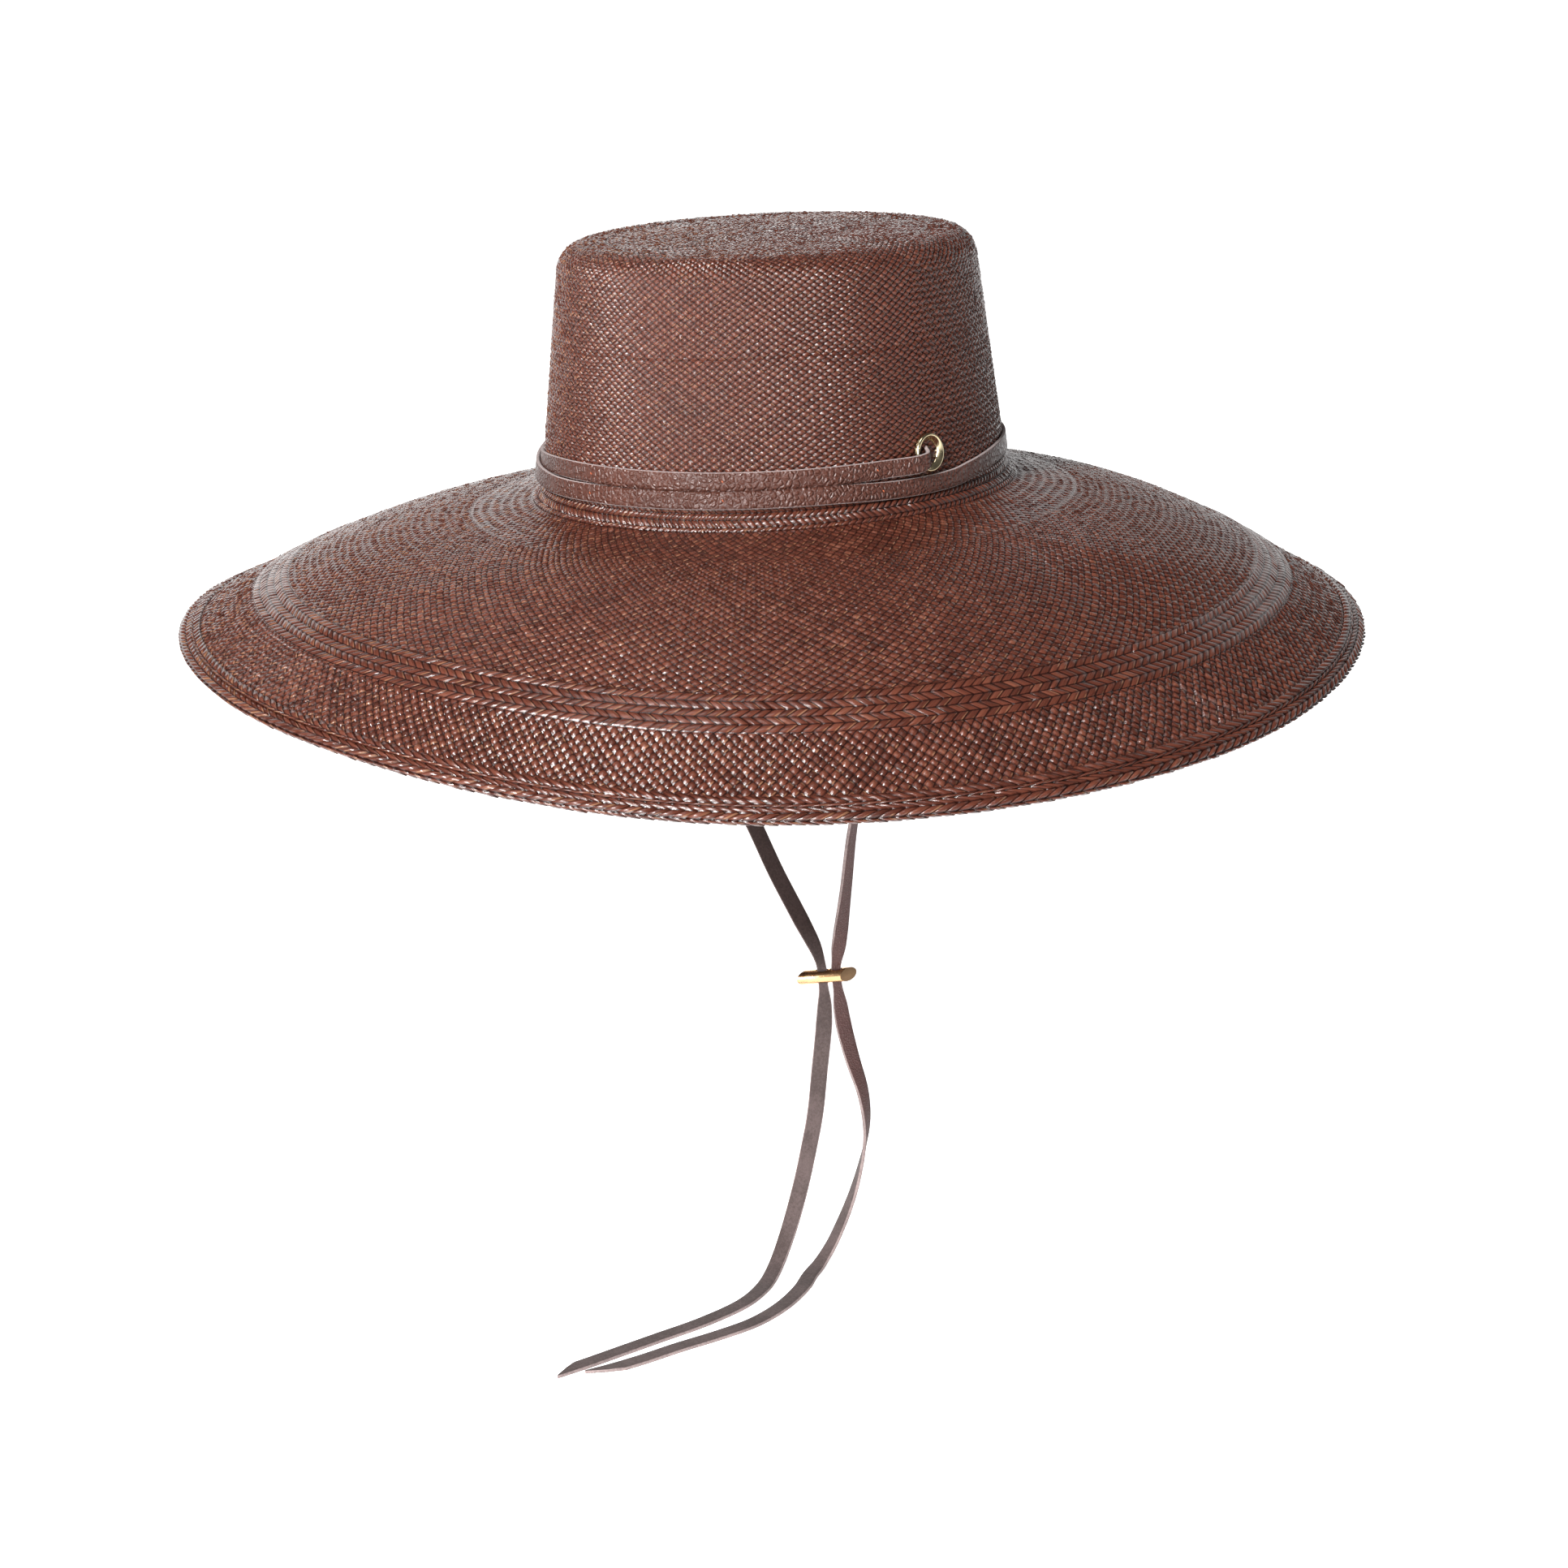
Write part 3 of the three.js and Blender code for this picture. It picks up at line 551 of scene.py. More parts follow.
def wraps(step=1.5):
    """Places, width directions and widths of the lace wound round the crown's wall."""
    turn = np.arange(LACE_WRAPS[0][0] + 2, LACE_WRAPS[-1][0], step)
    azimuth = -np.radians(turn)
    lane, layer = read_table(LACE_WRAPS, turn, 1), read_table(LACE_WRAPS, turn, 2)
    z = LACE_FOOT + LACE_WIDTH / 2 + lane * (LACE_WIDTH + GAP)
    radius = wall_radius(z)
    length = radius + CROWN_HALF_LENGTH - CROWN_HALF_WIDTH
    normal = np.stack([length * np.cos(azimuth), radius * np.sin(azimuth), 0 * z], -1)
    normal = unit(normal)
    normal[:, 2] = WALL_LEAN
    normal = unit(normal)
    depth = GAP + LACE_THICKNESS / 2 + layer * (GAP + LACE_THICKNESS)
    places = on_hat(radius, azimuth, z) + normal * depth[:, None]
    up = np.array([0.0, 0.0, 1.0])
    across = unit(up - normal * normal[:, 2:3])
    return places, across, np.full(len(z), LACE_WIDTH)


def laid(parts, spacing=1.6):
    """Several runs of a lace joined into one smooth line, with its directions and widths."""
    places = np.vstack([p[0] for p in parts])
    across = np.vstack([p[1] for p in parts])
    width = np.concatenate([p[2] for p in parts])
    counts = []

    def per_piece(length):
        counts.append(max(1, round(length / spacing)))
        return counts[-1]

    line = catmull_rom(places, per_piece)
    knots = np.concatenate([[0], np.cumsum(counts)])
    at = np.arange(len(line))
    across = np.stack([np.interp(at, knots, across[:, i]) for i in range(3)], -1)
    return line, across, np.interp(at, knots, width)


TOGGLE_ALONG = np.array([
    math.cos(TOGGLE_FACING) * math.cos(TOGGLE_TILT),
    math.sin(TOGGLE_FACING) * math.cos(TOGGLE_TILT), math.sin(TOGGLE_TILT),
])
TOGGLE_ACROSS = np.array([-math.sin(TOGGLE_FACING), math.cos(TOGGLE_FACING), 0.0])
TOGGLE_UP = np.cross(TOGGLE_ALONG, TOGGLE_ACROSS)


def chin_lace(name, side, above, slot_place, below, facing, tip_cut, sides):
    """Free end of the lace, from inside the crown through the toggle to its slanted tip."""
    start = passage(side)[0][-1] - np.array([0, 0, 2 * GAP])
    middle = TOGGLE_CENTRE + TOGGLE_ALONG * slot_place
    in_slot = [middle + TOGGLE_UP * share * TOGGLE_DIAMETER / 2 for share in (1, 0, -1)]
    stops = np.array([start, *above, *in_slot, *below], float)
    line = catmull_rom(stops, lambda length: max(2, round(length / 1.8)))
    lengths = np.concatenate([[0], np.cumsum(np.linalg.norm(np.diff(line, axis=0), axis=1))])
    share = lengths / lengths[-1]
    far = TOGGLE_PINCH[-1][0]
    away = np.minimum(np.abs(line[:, 2] - TOGGLE_CENTRE[2]) / TOGGLE_DIAMETER, far)
    free = np.clip((away - 1) / (far - 1), 0, 1)
    free = free * free * (3 - 2 * free)
    loose = np.radians(read_table(facing, share))
    azimuth = TOGGLE_FACING + (loose - TOGGLE_FACING) * free
    across = np.stack([np.cos(azimuth), np.sin(azimuth), 0 * azimuth], -1)
    width = LACE_WIDTH * read_table(TOGGLE_PINCH, away)
    to_tip = lengths[-1] - lengths
    cuts = np.zeros((len(line), 2))
    cuts[:, 0] = np.clip(1 - to_tip / tip_cut, 0, 1) * (LACE_WIDTH - LACE_TIP)
    points, faces, kinds = ribbon(line, across, width, cuts)
    piece = new_object(name, points, faces, [*sides, CUT_EDGE], face_materials=kinds)
    return piece, line * MM, float(lengths[-1] * MM)


left_lace, left_line, left_length = chin_lace(
    "chin_lace_outer", 1, LEFT_ABOVE, SLOT_PLACES["left"], LEFT_BELOW, LEFT_FACING,
    TIP_CUTS["left"], (LEATHER_DARK, SUEDE))
right_lace, right_line, right_length = chin_lace(
    "chin_lace_inner", -1, RIGHT_ABOVE, SLOT_PLACES["right"], RIGHT_BELOW, RIGHT_FACING,
    TIP_CUTS["right"], (SUEDE_PAINTED_SHADE, LEATHER_DARK))
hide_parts("chin_lace_left")
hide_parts("chin_lace_right")


# Toggle


def cylinder(name, sides, radius, depth, shape, slant=0.0):
    """Helper object: a cylinder shaped by a matrix and sheared along X."""
    build = bmesh.new()
    bmesh.ops.create_cone(build, cap_ends=True, segments=sides, radius1=radius, radius2=radius,
                          depth=depth, matrix=shape)
    for v in build.verts:
        v.co.x += v.co.y * slant
    mesh = bpy.data.meshes.new(name)
    build.to_mesh(mesh)
    build.free()
    made = bpy.data.objects.new(name, mesh)
    bpy.context.collection.objects.link(made)
    return made


def toggle():
    """Slim bar with parallel slanted ends and two slots, its edges lightly rounded."""
    bar = cylinder("toggle_bar", 72, TOGGLE_DIAMETER / 2, TOGGLE_LENGTH,
                   Matrix.Rotation(math.pi / 2, 4, "Y"), math.tan(TOGGLE_MITRE))
    cutters = []
    for place in SLOT_PLACES.values():
        size = Matrix.Diagonal((SLOT_LENGTH / 2, SLOT_WIDTH / 2, 1, 1))
        cutters.append(cylinder("toggle_slot", 40, 1, 3 * TOGGLE_DIAMETER,
                                Matrix.Translation((place, 0, 0)) @ size))
        cut = bar.modifiers.new("slot", "BOOLEAN")
        cut.operation, cut.solver, cut.object = "DIFFERENCE", "EXACT", cutters[-1]
    rounding = bar.modifiers.new("rounding", "BEVEL")
    rounding.width, rounding.segments, rounding.limit_method = 0.28, 3, "ANGLE"
    rounding.angle_limit = math.radians(35)
    depsgraph = bpy.context.evaluated_depsgraph_get()
    made = bar.evaluated_get(depsgraph).to_mesh()
    points = np.array([v.co for v in made.vertices])
    faces = [tuple(p.vertices) for p in made.polygons]
    normals = np.array([p.normal for p in made.polygons])
    end = unit([math.cos(TOGGLE_MITRE), -math.sin(TOGGLE_MITRE), 0])
    kinds = (np.abs(normals @ end) > 0.9).astype(int)
    placed = (TOGGLE_CENTRE + points[:, :1] * TOGGLE_ALONG + points[:, 1:2] * TOGGLE_ACROSS
              + points[:, 2:] * TOGGLE_UP)
    for temporary in (bar, *cutters):
        bpy.data.objects.remove(temporary)
    piece = new_object("toggle_brass", placed, faces, [BRASS, BRASS_BRUSHED],
                       face_materials=kinds)
    sharp = piece.data.attributes.new("sharp_edge", "BOOLEAN", "EDGE")
    sharp.data.foreach_set("value", np.zeros(len(piece.data.edges), bool))
    return piece


toggle_piece = toggle()
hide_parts("toggle")


# Band lace and eyelets

band_line, band_across, band_width = laid([
    tuple(part[::-1] for part in passage(1)), wraps(), passage(-1),
])
bearing = -np.degrees(np.arctan2(band_line[:, 1], band_line[:, 0])) % 360
close = np.interp(bearing, TOUCHING, [0, 1, 1, 0])
upper = band_line[:, 2] > LACE_FOOT + LACE_WIDTH + GAP / 2
points, faces, kinds = ribbon(band_line, band_across, band_width,
                              flush=np.stack([close * upper, close * ~upper], -1))
band = new_object("band_lace_wound", points, faces, [SUEDE, LEATHER, CUT_EDGE],
                  face_materials=kinds)
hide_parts("band_lace")


def tacks():
    """Small orange tacking stitches that hold the two turns of the band."""
    places, across, _ = wraps(0.5)
    turn = np.arange(len(places)) * 0.5 + LACE_WRAPS[0][0] + 2
    points, faces = [], []
    for at in TACK_TURNS:
        i = int(np.argmin(np.abs(turn - at)))
        along = unit(places[min(i + 1, len(places) - 1)] - places[i - 1])
        out = unit(np.cross(along, across[i]))
        out = out if out @ unit([places[i][0], places[i][1], 0]) > 0 else -out
        centre = places[i] + out * (LACE_THICKNESS / 2 + 0.05)
        slant = unit(across[i] + 0.6 * along)
        beside = np.cross(out, slant)
        base = len(points)
        for share, rise in ((-1, -0.25), (-0.5, 0.22), (0, 0.3), (0.5, 0.22), (1, -0.25)):
            for way in (-1, 0, 1):
                points.append(centre + slant * share * TACK_HALF_LENGTH
                              + beside * way * TACK_HALF_WIDTH + out * (rise - 0.15 * abs(way)))
        for m in range(4):
            for w in range(2):
                a = base + m * 3 + w
                faces.append((a, a + 3, a + 4, a + 1))
        faces.append(tuple(base + v for v in (0, 1, 2, 5, 8, 11, 14, 13, 12, 9, 6, 3)))
    return new_object("band_tacks", points, faces, [THREAD])


tacks()


def eyelet(name, node, side):
    """Rolled eyelet turned round its own axis."""
    bore, ring, tube = EYELET_BORE / 2, EYELET_FLANGE / 2, EYELET_BORE / 2 + EYELET_TUBE
    washer = WASHER_DIAMETER / 2
    crown_bend = CROWN_HALF_LENGTH**2 / CROWN_HALF_WIDTH
    washer_top = -STRAW - GAP - washer**2 / (2 * crown_bend)
    washer_foot = washer_top - WASHER_THICKNESS
    middle, half = (bore + ring) / 2, (ring - bore) / 2
    roll = []
    for a in np.linspace(0, math.pi, 19):
        inward = (1 - math.cos(a)) / 2
        rise = max(0.0, math.sin(math.pi * inward ** 0.55)) ** 0.8
        roll.append((middle + half * math.cos(a), GAP + EYELET_ROLL * rise))
    section = [(tube, washer_top), (tube, GAP), (ring - 0.3, GAP), *roll,
               (bore, washer_foot + 0.35), (bore + 0.1, washer_foot + 0.1),
               (bore + 0.35, washer_foot), (washer - 0.2, washer_foot), (washer, washer_foot + 0.2),
               (washer, washer_top - 0.1), (washer - 0.1, washer_top)]
    centre, outward, along, up = eyelet_frame(side)
    cross = np.cross(outward, along)
    turns = 96
    angles = np.arange(turns) * TURN / turns
    section = np.array(section)
    spin = np.cos(angles)[:, None] * along + np.sin(angles)[:, None] * cross
    points = centre + section[None, :, :1] * spin[:, None] + section[None, :, 1:] * outward
    quads = ring_quads(turns, len(section), closed=True)[:, [0, 3, 2, 1]]
    piece = new_object(name, points.reshape(-1, 3), quads.tolist(), [PALE_BRASS])
    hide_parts(node)
    return piece


eyelet("eyelet_ring_left", "eyelet_left", 1)
eyelet("eyelet_ring_right", "eyelet_right", -1)

# Profile of the straw


def profile():
    """Round profile of the straw's outer side from the tip's centre to the edge: distance
    along it, radius and height, one point every half millimetre or so."""
    share = np.linspace(0, 1, 160, endpoint=False)
    tip = np.stack([SHOULDER_R * share, CROWN_HEIGHT - TIP_RISE * share**2], -1)
    angle = np.linspace(math.pi / 2, WALL_TILT, 40)
    shoulder = np.stack([SHOULDER_R + SHOULDER * np.cos(angle),
                         SHOULDER_Z + SHOULDER * np.sin(angle)], -1)
    z = np.linspace(shoulder[-1, 1], NECK_RISE, 160)[1:]
    wall = np.stack([wall_radius(z), z], -1)

    def brim_point(out):
        return np.stack([FOOT + out * BRIM_WIDTH, -BRIM_DROP * read_table(BRIM_CURVE, out)], -1)

    start = brim_point(np.array(BRIM_CURVE[0][0]))
    bend = np.array([wall_radius(start[1] / 2), start[1] / 2])
    t = np.linspace(0, 1, 40)[1:, None]
    neck = (1 - t) ** 2 * wall[-1] + 2 * t * (1 - t) * bend + t**2 * start
    brim = brim_point(np.linspace(BRIM_CURVE[0][0], 1, 330)[1:])
    points = np.vstack([tip, shoulder, wall, neck, brim])
    along = np.concatenate([[0], np.cumsum(np.linalg.norm(np.diff(points, axis=0), axis=1))])
    return along, points


ALONG, SECTION = profile()
SECTION_NORMAL = unit(np.gradient(SECTION, ALONG, axis=0))
SECTION_NORMAL = np.stack([-SECTION_NORMAL[:, 1], SECTION_NORMAL[:, 0]], -1)
EDGE_WAY = unit(SECTION[-1] - SECTION[-4])


def at_radius(radius):
    """Distance along the profile where the tip or the brim has a radius."""
    return float(np.interp(radius, SECTION[:, 0], ALONG))


def at_out(out):
    return at_radius(FOOT + out * BRIM_WIDTH)


def at_height(z):
    return float(np.interp(-z, -SECTION[:, 1], ALONG))


def on_skin(along, azimuth, lift):
    """Point of the straw at a distance along the profile, lifted off its outer side. Past the
    profile's end it is carried straight on."""
    past = np.maximum(0, along - ALONG[-1])
    radius = np.interp(along, ALONG, SECTION[:, 0]) + past * EDGE_WAY[0]
    z = np.interp(along, ALONG, SECTION[:, 1]) + past * EDGE_WAY[1]
    out_r = np.interp(along, ALONG, SECTION_NORMAL[:, 0])
    out_z = np.interp(along, ALONG, SECTION_NORMAL[:, 1])
    return on_hat(np.maximum(radius + lift * out_r, 0), azimuth, z + lift * out_z)


def ring_lift(along):
    out = (np.interp(along, ALONG, SECTION[:, 0]) - FOOT) / BRIM_WIDTH
    inside = (out > BRIM_RING[0][0]) & (out < BRIM_RING[-1][0]) & (along > at_height(0))
    return np.where(inside, RING_LIFT * read_table(BRIM_RING, out), 0)


RIM_START, RIM_END = at_out(1 - RIM_WIDTH / BRIM_WIDTH), at_out(1)


def rim_path():
    """Closed way round the braided edge: over its top, round its nose and back beneath."""
    width = RIM_END - RIM_START
    rows = [(0.0, 0.0), (0.12, 1.0), (0.25, 1.1), (0.36, 0.9), (0.455, 0.0), (0.60, 1.0),
            (0.76, 1.15), (0.88, 0.9), (0.97, 0.5)]
    top = [(RIM_START + width * a, RIM_LIFT * lift) for a, lift in rows]
    nose = [(RIM_END, -0.1), (RIM_END + 0.1, -STRAW / 2), (RIM_END, -STRAW + 0.1)]
    under = [(RIM_START + width * a, -STRAW - RIM_LIFT * lift) for a, lift in rows[::-1]]
    return np.array(top + nose + under)


def mill(path):
    """A path of (along, lift) made even: distance, along and lift at close steps."""
    steps = np.concatenate([[0], np.cumsum(np.linalg.norm(np.diff(path, axis=0), axis=1))])
    t = np.linspace(0, steps[-1], 200)
    return t, np.interp(t, steps, path[:, 0]), np.interp(t, steps, path[:, 1])


RIM_T, RIM_ALONG, RIM_LIFTS = mill(rim_path())
RIM_ROWS = [0, 3.5, 4.5, 7.3, 10.2, 13.2, 16.6, RIM_T[-1]]

# Weave


def noise_wave(azimuth, along):
    """Slow wander of the rows, in millimetres."""
    return sum(size * np.sin(waves * azimuth + along / length + phase)
               for size, waves, length, phase in (
                   (0.35, 3, 19, 1), (0.28, 7, -11, 0), (0.22, 13, 7, 2), (0.12, 29, 3.1, 0)))


class Shell:
    """Points, triangles and straw data of one piece, gathered zone by zone."""

    def __init__(self):
        self.points, self.tris, self.low, self.tone = [], [], [], []
        self.fibre, self.swell, self.sharp = [], [], []
        self.count = 0

    def add(self, points, tris, low, tone, fibre, swell):
        base = self.count
        self.points.append(points)
        self.tris.append(tris + base)
        self.low.append(low)
        self.tone.append(tone)
        self.fibre.append(fibre)
        self.swell.append(np.full(len(tris), swell))
        self.count += len(points)
        return base

    def weave(self, points, numbers, azimuth, tris, low, tone, fibre, swell):
        """Adds one grid of a weave and gives its first and its last ring."""
        base = self.add(points.reshape(-1, 3), tris, low.ravel(), tone, fibre.reshape(-1, 2), swell)
        return [list(zip(azimuth[row], numbers[row] + base)) for row in (0, -1)]

    def stitch(self, ring_a, ring_b, sharp=False):
        """Triangles that join two rings of (azimuth, point number), each going round once.
        The strip's outer side faces away from the profile as it goes from a to b."""
        a = sorted((az % TURN, int(i)) for az, i in ring_a)
        b = sorted((az % TURN, int(i)) for az, i in ring_b)
        a.append((a[0][0] + TURN, a[0][1]))
        b.append((b[0][0] + TURN, b[0][1]))
        i = j = 0
        tris = []
        while i < len(a) - 1 or j < len(b) - 1:
            if j == len(b) - 1 or (i < len(a) - 1 and a[i + 1][0] <= b[j + 1][0]):
                tris.append((a[i][1], b[j][1], a[i + 1][1]))
                i += 1
            else:
                tris.append((a[i][1], b[j][1], b[j + 1][1]))
                j += 1
        tris = np.array(tris)
        if sharp:
            for ring in (a, b):
                numbers = np.array([number for _, number in ring])
                self.sharp.append(np.sort(np.stack([numbers[:-1], numbers[1:]], -1)))
        self.tris.append(tris)
        self.tone.append(np.full(len(tris), 0.4))
        self.fibre.append(np.ones((3 * len(tris), 2)))
        self.swell.append(np.zeros(len(tris)))

    def cap(self, ring, point, outward):
        """Fan of triangles that closes a ring with one point in its middle."""
        numbers = [int(i) for _, i in sorted((az % TURN, i) for az, i in ring)]
        pairs = list(zip(numbers, numbers[1:] + numbers[:1]))
        middle = self.count
        tris = np.array([(middle, a, b) if outward else (a, middle, b) for a, b in pairs])
        self.add(point[None], tris - middle, np.zeros(1), np.full(len(tris), 0.4),
                 np.ones((3 * len(tris), 2)), 0.0)

    def finish(self, name):
        points, tris = np.vstack(self.points), np.vstack(self.tris)
        piece = new_object(name, points, tris.tolist(), [STRAW_LOOK])
        mesh = piece.data
        # low is how far down in the gaps between the straws each point lies; the straw look paints
        # shade there by it
        for key, domain, values in (("low", "POINT", self.low), ("tone", "FACE", self.tone),
                                    ("swell", "FACE", self.swell)):
            layer = mesh.attributes.new(key, "FLOAT", domain)
            layer.data.foreach_set("value", np.concatenate(values))
        layer = mesh.uv_layers.new(name="fibre")
        layer.data.foreach_set("uv", np.vstack(self.fibre).ravel())
        if self.sharp:
            pairs = np.empty(2 * len(mesh.edges), np.int32)
            mesh.edges.foreach_get("vertices", pairs)
            pairs = np.sort(pairs.reshape(-1, 2)) @ [len(points), 1]
            marked = np.isin(pairs, np.vstack(self.sharp) @ [len(points), 1])
            edges = mesh.attributes.new("sharp_edge", "BOOLEAN", "EDGE")
            edges.data.foreach_set("value", marked)
        return piece


class Lattice:
    """Plain weave of two families of slanting straws round the hat: how pale each straw and
    each crossing is, how it tilts, and how far the straws' edges stray."""

    def __init__(self, columns, rows, spread, jitter=0.05):
        self.columns, self.rows = columns, rows
        self.straws = np.clip(rng.normal(0.5, spread, (2, columns)), 0, 1)
        self.crossing = rng.normal(0, 1, (rows + 4, 2 * columns))
        self.tilt = rng.normal(0, 0.24, (rows + 4, 2 * columns, 2))
        self.shift = rng.normal(0, jitter, (2, columns))


PLATEAU_SIDE, PLATEAU_END = 0.11, 0.26


def plain_weave(shell, lattice, part, place, relief, spread, swell):
    """Rows of one part of a lattice on the outer side. place(row share, azimuth, lift) gives
    the points; the relief is the height of a straw above its gaps. Returns the two rings."""
    columns, rows = lattice.columns, lattice.rows
    straws, crossing, tilt, shift = lattice.straws, lattice.crossing, lattice.tilt, lattice.shift
    j, k = np.meshgrid(np.arange(3 * part[0], 3 * part[1] + 1), np.arange(3 * columns),
                       indexing="ij")
    i = 2 * k + (j + 1) % 2
    a3, b3 = (i + j + 3) // 2, (i - j + 3) // 2
    a, b, ka, kb = a3 // 3, b3 // 3, a3 % 3, b3 % 3
    over = (a + b) % 2 == 0
    inner = (ka > 0) & (kb > 0)
    side = np.array([0, PLATEAU_SIDE, 1 - PLATEAU_SIDE])
    end = np.array([0, PLATEAU_END, 1 - PLATEAU_END])
    line = np.array([0, 0.2, 0.8])
    s = np.where(inner, np.where(over, end[ka], side[ka]), line[ka])
    t = np.where(inner, np.where(over, side[kb], end[kb]), line[kb])
    corner = (ka == 0) & (kb == 0)
    # low marks the gaps, and the corners where they cross, for painted shade there
    low = np.where(inner, 0.0, np.where(corner, 1.0, 0.62))
    row, column = a - b, (a + b) % (2 * columns)
    lean = tilt[row + 2, column]
    proud = (1 + 0.12 * crossing[row + 2, column] + lean[..., 0] * (s - 0.5) * 2.4
             + lean[..., 1] * (t - 0.5) * 2.4)
    height = np.where(inner, proud, np.where(corner, -0.45, 0.12))
    au = a + s + shift[0][a % columns] * (1 - s) + shift[0][(a + 1) % columns] * s
    bu = b + t + shift[1][b % columns] * (1 - t) + shift[1][(b + 1) % columns] * t
    azimuth = (au + bu - 1) / (2 * columns) * TURN
    at = (au - bu) / rows
    lift = relief * (height - SUNK)
    if part[0] == 0:
        at[0], lift[0] = 0, -0.3 * relief
    if part[1] == rows:
        at[-1], lift[-1] = 1, -0.3 * relief
    points = place(np.clip(at, 0, 1), azimuth, lift)
    first_row = 3 * part[0]
    numbers = (j - first_row) * 3 * columns + k

    def number(row_at, i_at):
        return (row_at - first_row) * 3 * columns + ((i_at - (row_at + 1) % 2) // 2) % (3 * columns)

    jj, kk = j[:-1], k[:-1]
    ci = 2 * kk + jj % 2
    up = np.stack([number(jj, ci - 1), number(jj + 1, ci), number(jj, ci + 1)], -1)
    di = 2 * kk + (jj + 1) % 2
    down = np.stack([number(jj + 1, di - 1), number(jj + 1, di + 1), number(jj, di)], -1)
    tris = np.concatenate([up.reshape(-1, 3), down.reshape(-1, 3)])
    middle_i = np.concatenate([ci.ravel(), di.ravel()])
    middle_j = np.concatenate([jj.ravel(), (jj + 1).ravel()])
    cell_a, cell_b = (middle_i + middle_j + 3) // 6, (middle_i - middle_j + 3) // 6
    cell_over = (cell_a + cell_b) % 2 == 0
    cell_row, cell_column = cell_a - cell_b, (cell_a + cell_b) % (2 * columns)
    strand = np.where(cell_over, straws[0][cell_b % columns], straws[1][cell_a % columns])
    tone = np.clip(strand + crossing[cell_row + 2, cell_column] * spread, 0, 1)
    flat_a, flat_b = (a + s).ravel(), (b + t).ravel()
    da = (flat_a[tris] - cell_a[:, None] + columns / 2) % columns - columns / 2
    db = (flat_b[tris] - cell_b[:, None] + columns / 2) % columns - columns / 2
    u = np.where(cell_over[:, None], cell_a[:, None] + da, cell_b[:, None] + db)
    v = np.where(cell_over[:, None], db, da)
    straw = np.where(cell_over, cell_b % columns, columns + cell_a % columns)[:, None]
    fibre = np.stack([u * FIBRE_LONG, v * FIBRE_LONG + straw * FIBRE_APART], -1)
    return shell.weave(points, numbers, azimuth, tris, low, tone, fibre, swell)


def herringbone(shell, columns, bounds, place, relief, slant, spread, first, swell):
    """Rows of straws lying side by side, leaning one way in a row and the other way in the
    next. bounds are the rows' limits for place(); slant is how many straws each leans over."""
    rows = len(bounds) - 1
    tone_of = np.clip(rng.normal(0.5, spread, (rows, columns)), 0, 1)
    uneven = rng.normal(0, 0.12, (rows, columns))
    stray = rng.normal(0, 0.09, (rows + 1, columns))
    c_at, f_at = np.array([0.0, 0.2, 0.8]), np.array([0.0, 0.16, 0.84])
    count = 3 * rows + 1
    j, k = np.meshgrid(np.arange(count), np.arange(3 * columns), indexing="ij")
    row, f = np.minimum(j // 3, rows - 1), f_at[j % 3]
    f = np.where(j == 3 * rows, 1.0, f)
    column, c = k // 3, c_at[k % 3]
    forward = (row + first) % 2 == 1
    lean = slant * np.where(forward, f, 1 - f)
    drift = stray[row, column] * (1 - f) + stray[row + 1, column] * f
    azimuth = (column + c + lean + drift * (c == 0)) / columns * TURN
    edge, gap = j % 3 == 0, k % 3 == 0
    proud = 1 + uneven[row, column] + 0.25 * (0.5 - f) * np.where(forward, 1, -1)
    height = np.where(edge & gap, -0.5, np.where(edge, 0.1, np.where(gap, -0.1, proud)))
    # low marks the gaps between the straws, for painted shade there
    low = np.where(edge & gap, 1.0, np.where(edge | gap, 0.7, 0.0))
    start, stop = np.array(bounds)[row], np.array(bounds)[row + 1]
    points = place(start + (stop - start) * f, azimuth, relief * (height - SUNK))
    numbers = j * 3 * columns + k
    right = (k + 1) % (3 * columns)
    near, near_right = numbers[:-1], j[:-1] * 3 * columns + right[:-1]
    far, far_right = numbers[1:], near_right + 3 * columns
    one, two = np.stack([near, far, near_right], -1), np.stack([near_right, far, far_right], -1)
    tris = np.concatenate([one.reshape(-1, 3), two.reshape(-1, 3)])
    cell_row, cell_column = np.tile(row[:-1].ravel(), 2), np.tile(column[:-1].ravel(), 2)
    tone = tone_of[cell_row, cell_column]
    flat_c, flat_f = (column + c).ravel(), f.ravel()
    tri_j = (tris // (3 * columns)) / 3
    across = (flat_c[tris] - cell_column[:, None] + columns / 2) % columns - columns / 2
    along = np.where(tri_j >= cell_row[:, None] + 1, 1.0, flat_f[tris])
    straw = (cell_column + 31 * cell_row)[:, None]
    fibre = np.stack([along * FIBRE_LONG + cell_column[:, None] * 4.0,
                      across * FIBRE_LONG + straw * FIBRE_APART], -1)
    return shell.weave(points, numbers, azimuth, tris, low, tone, fibre, swell)


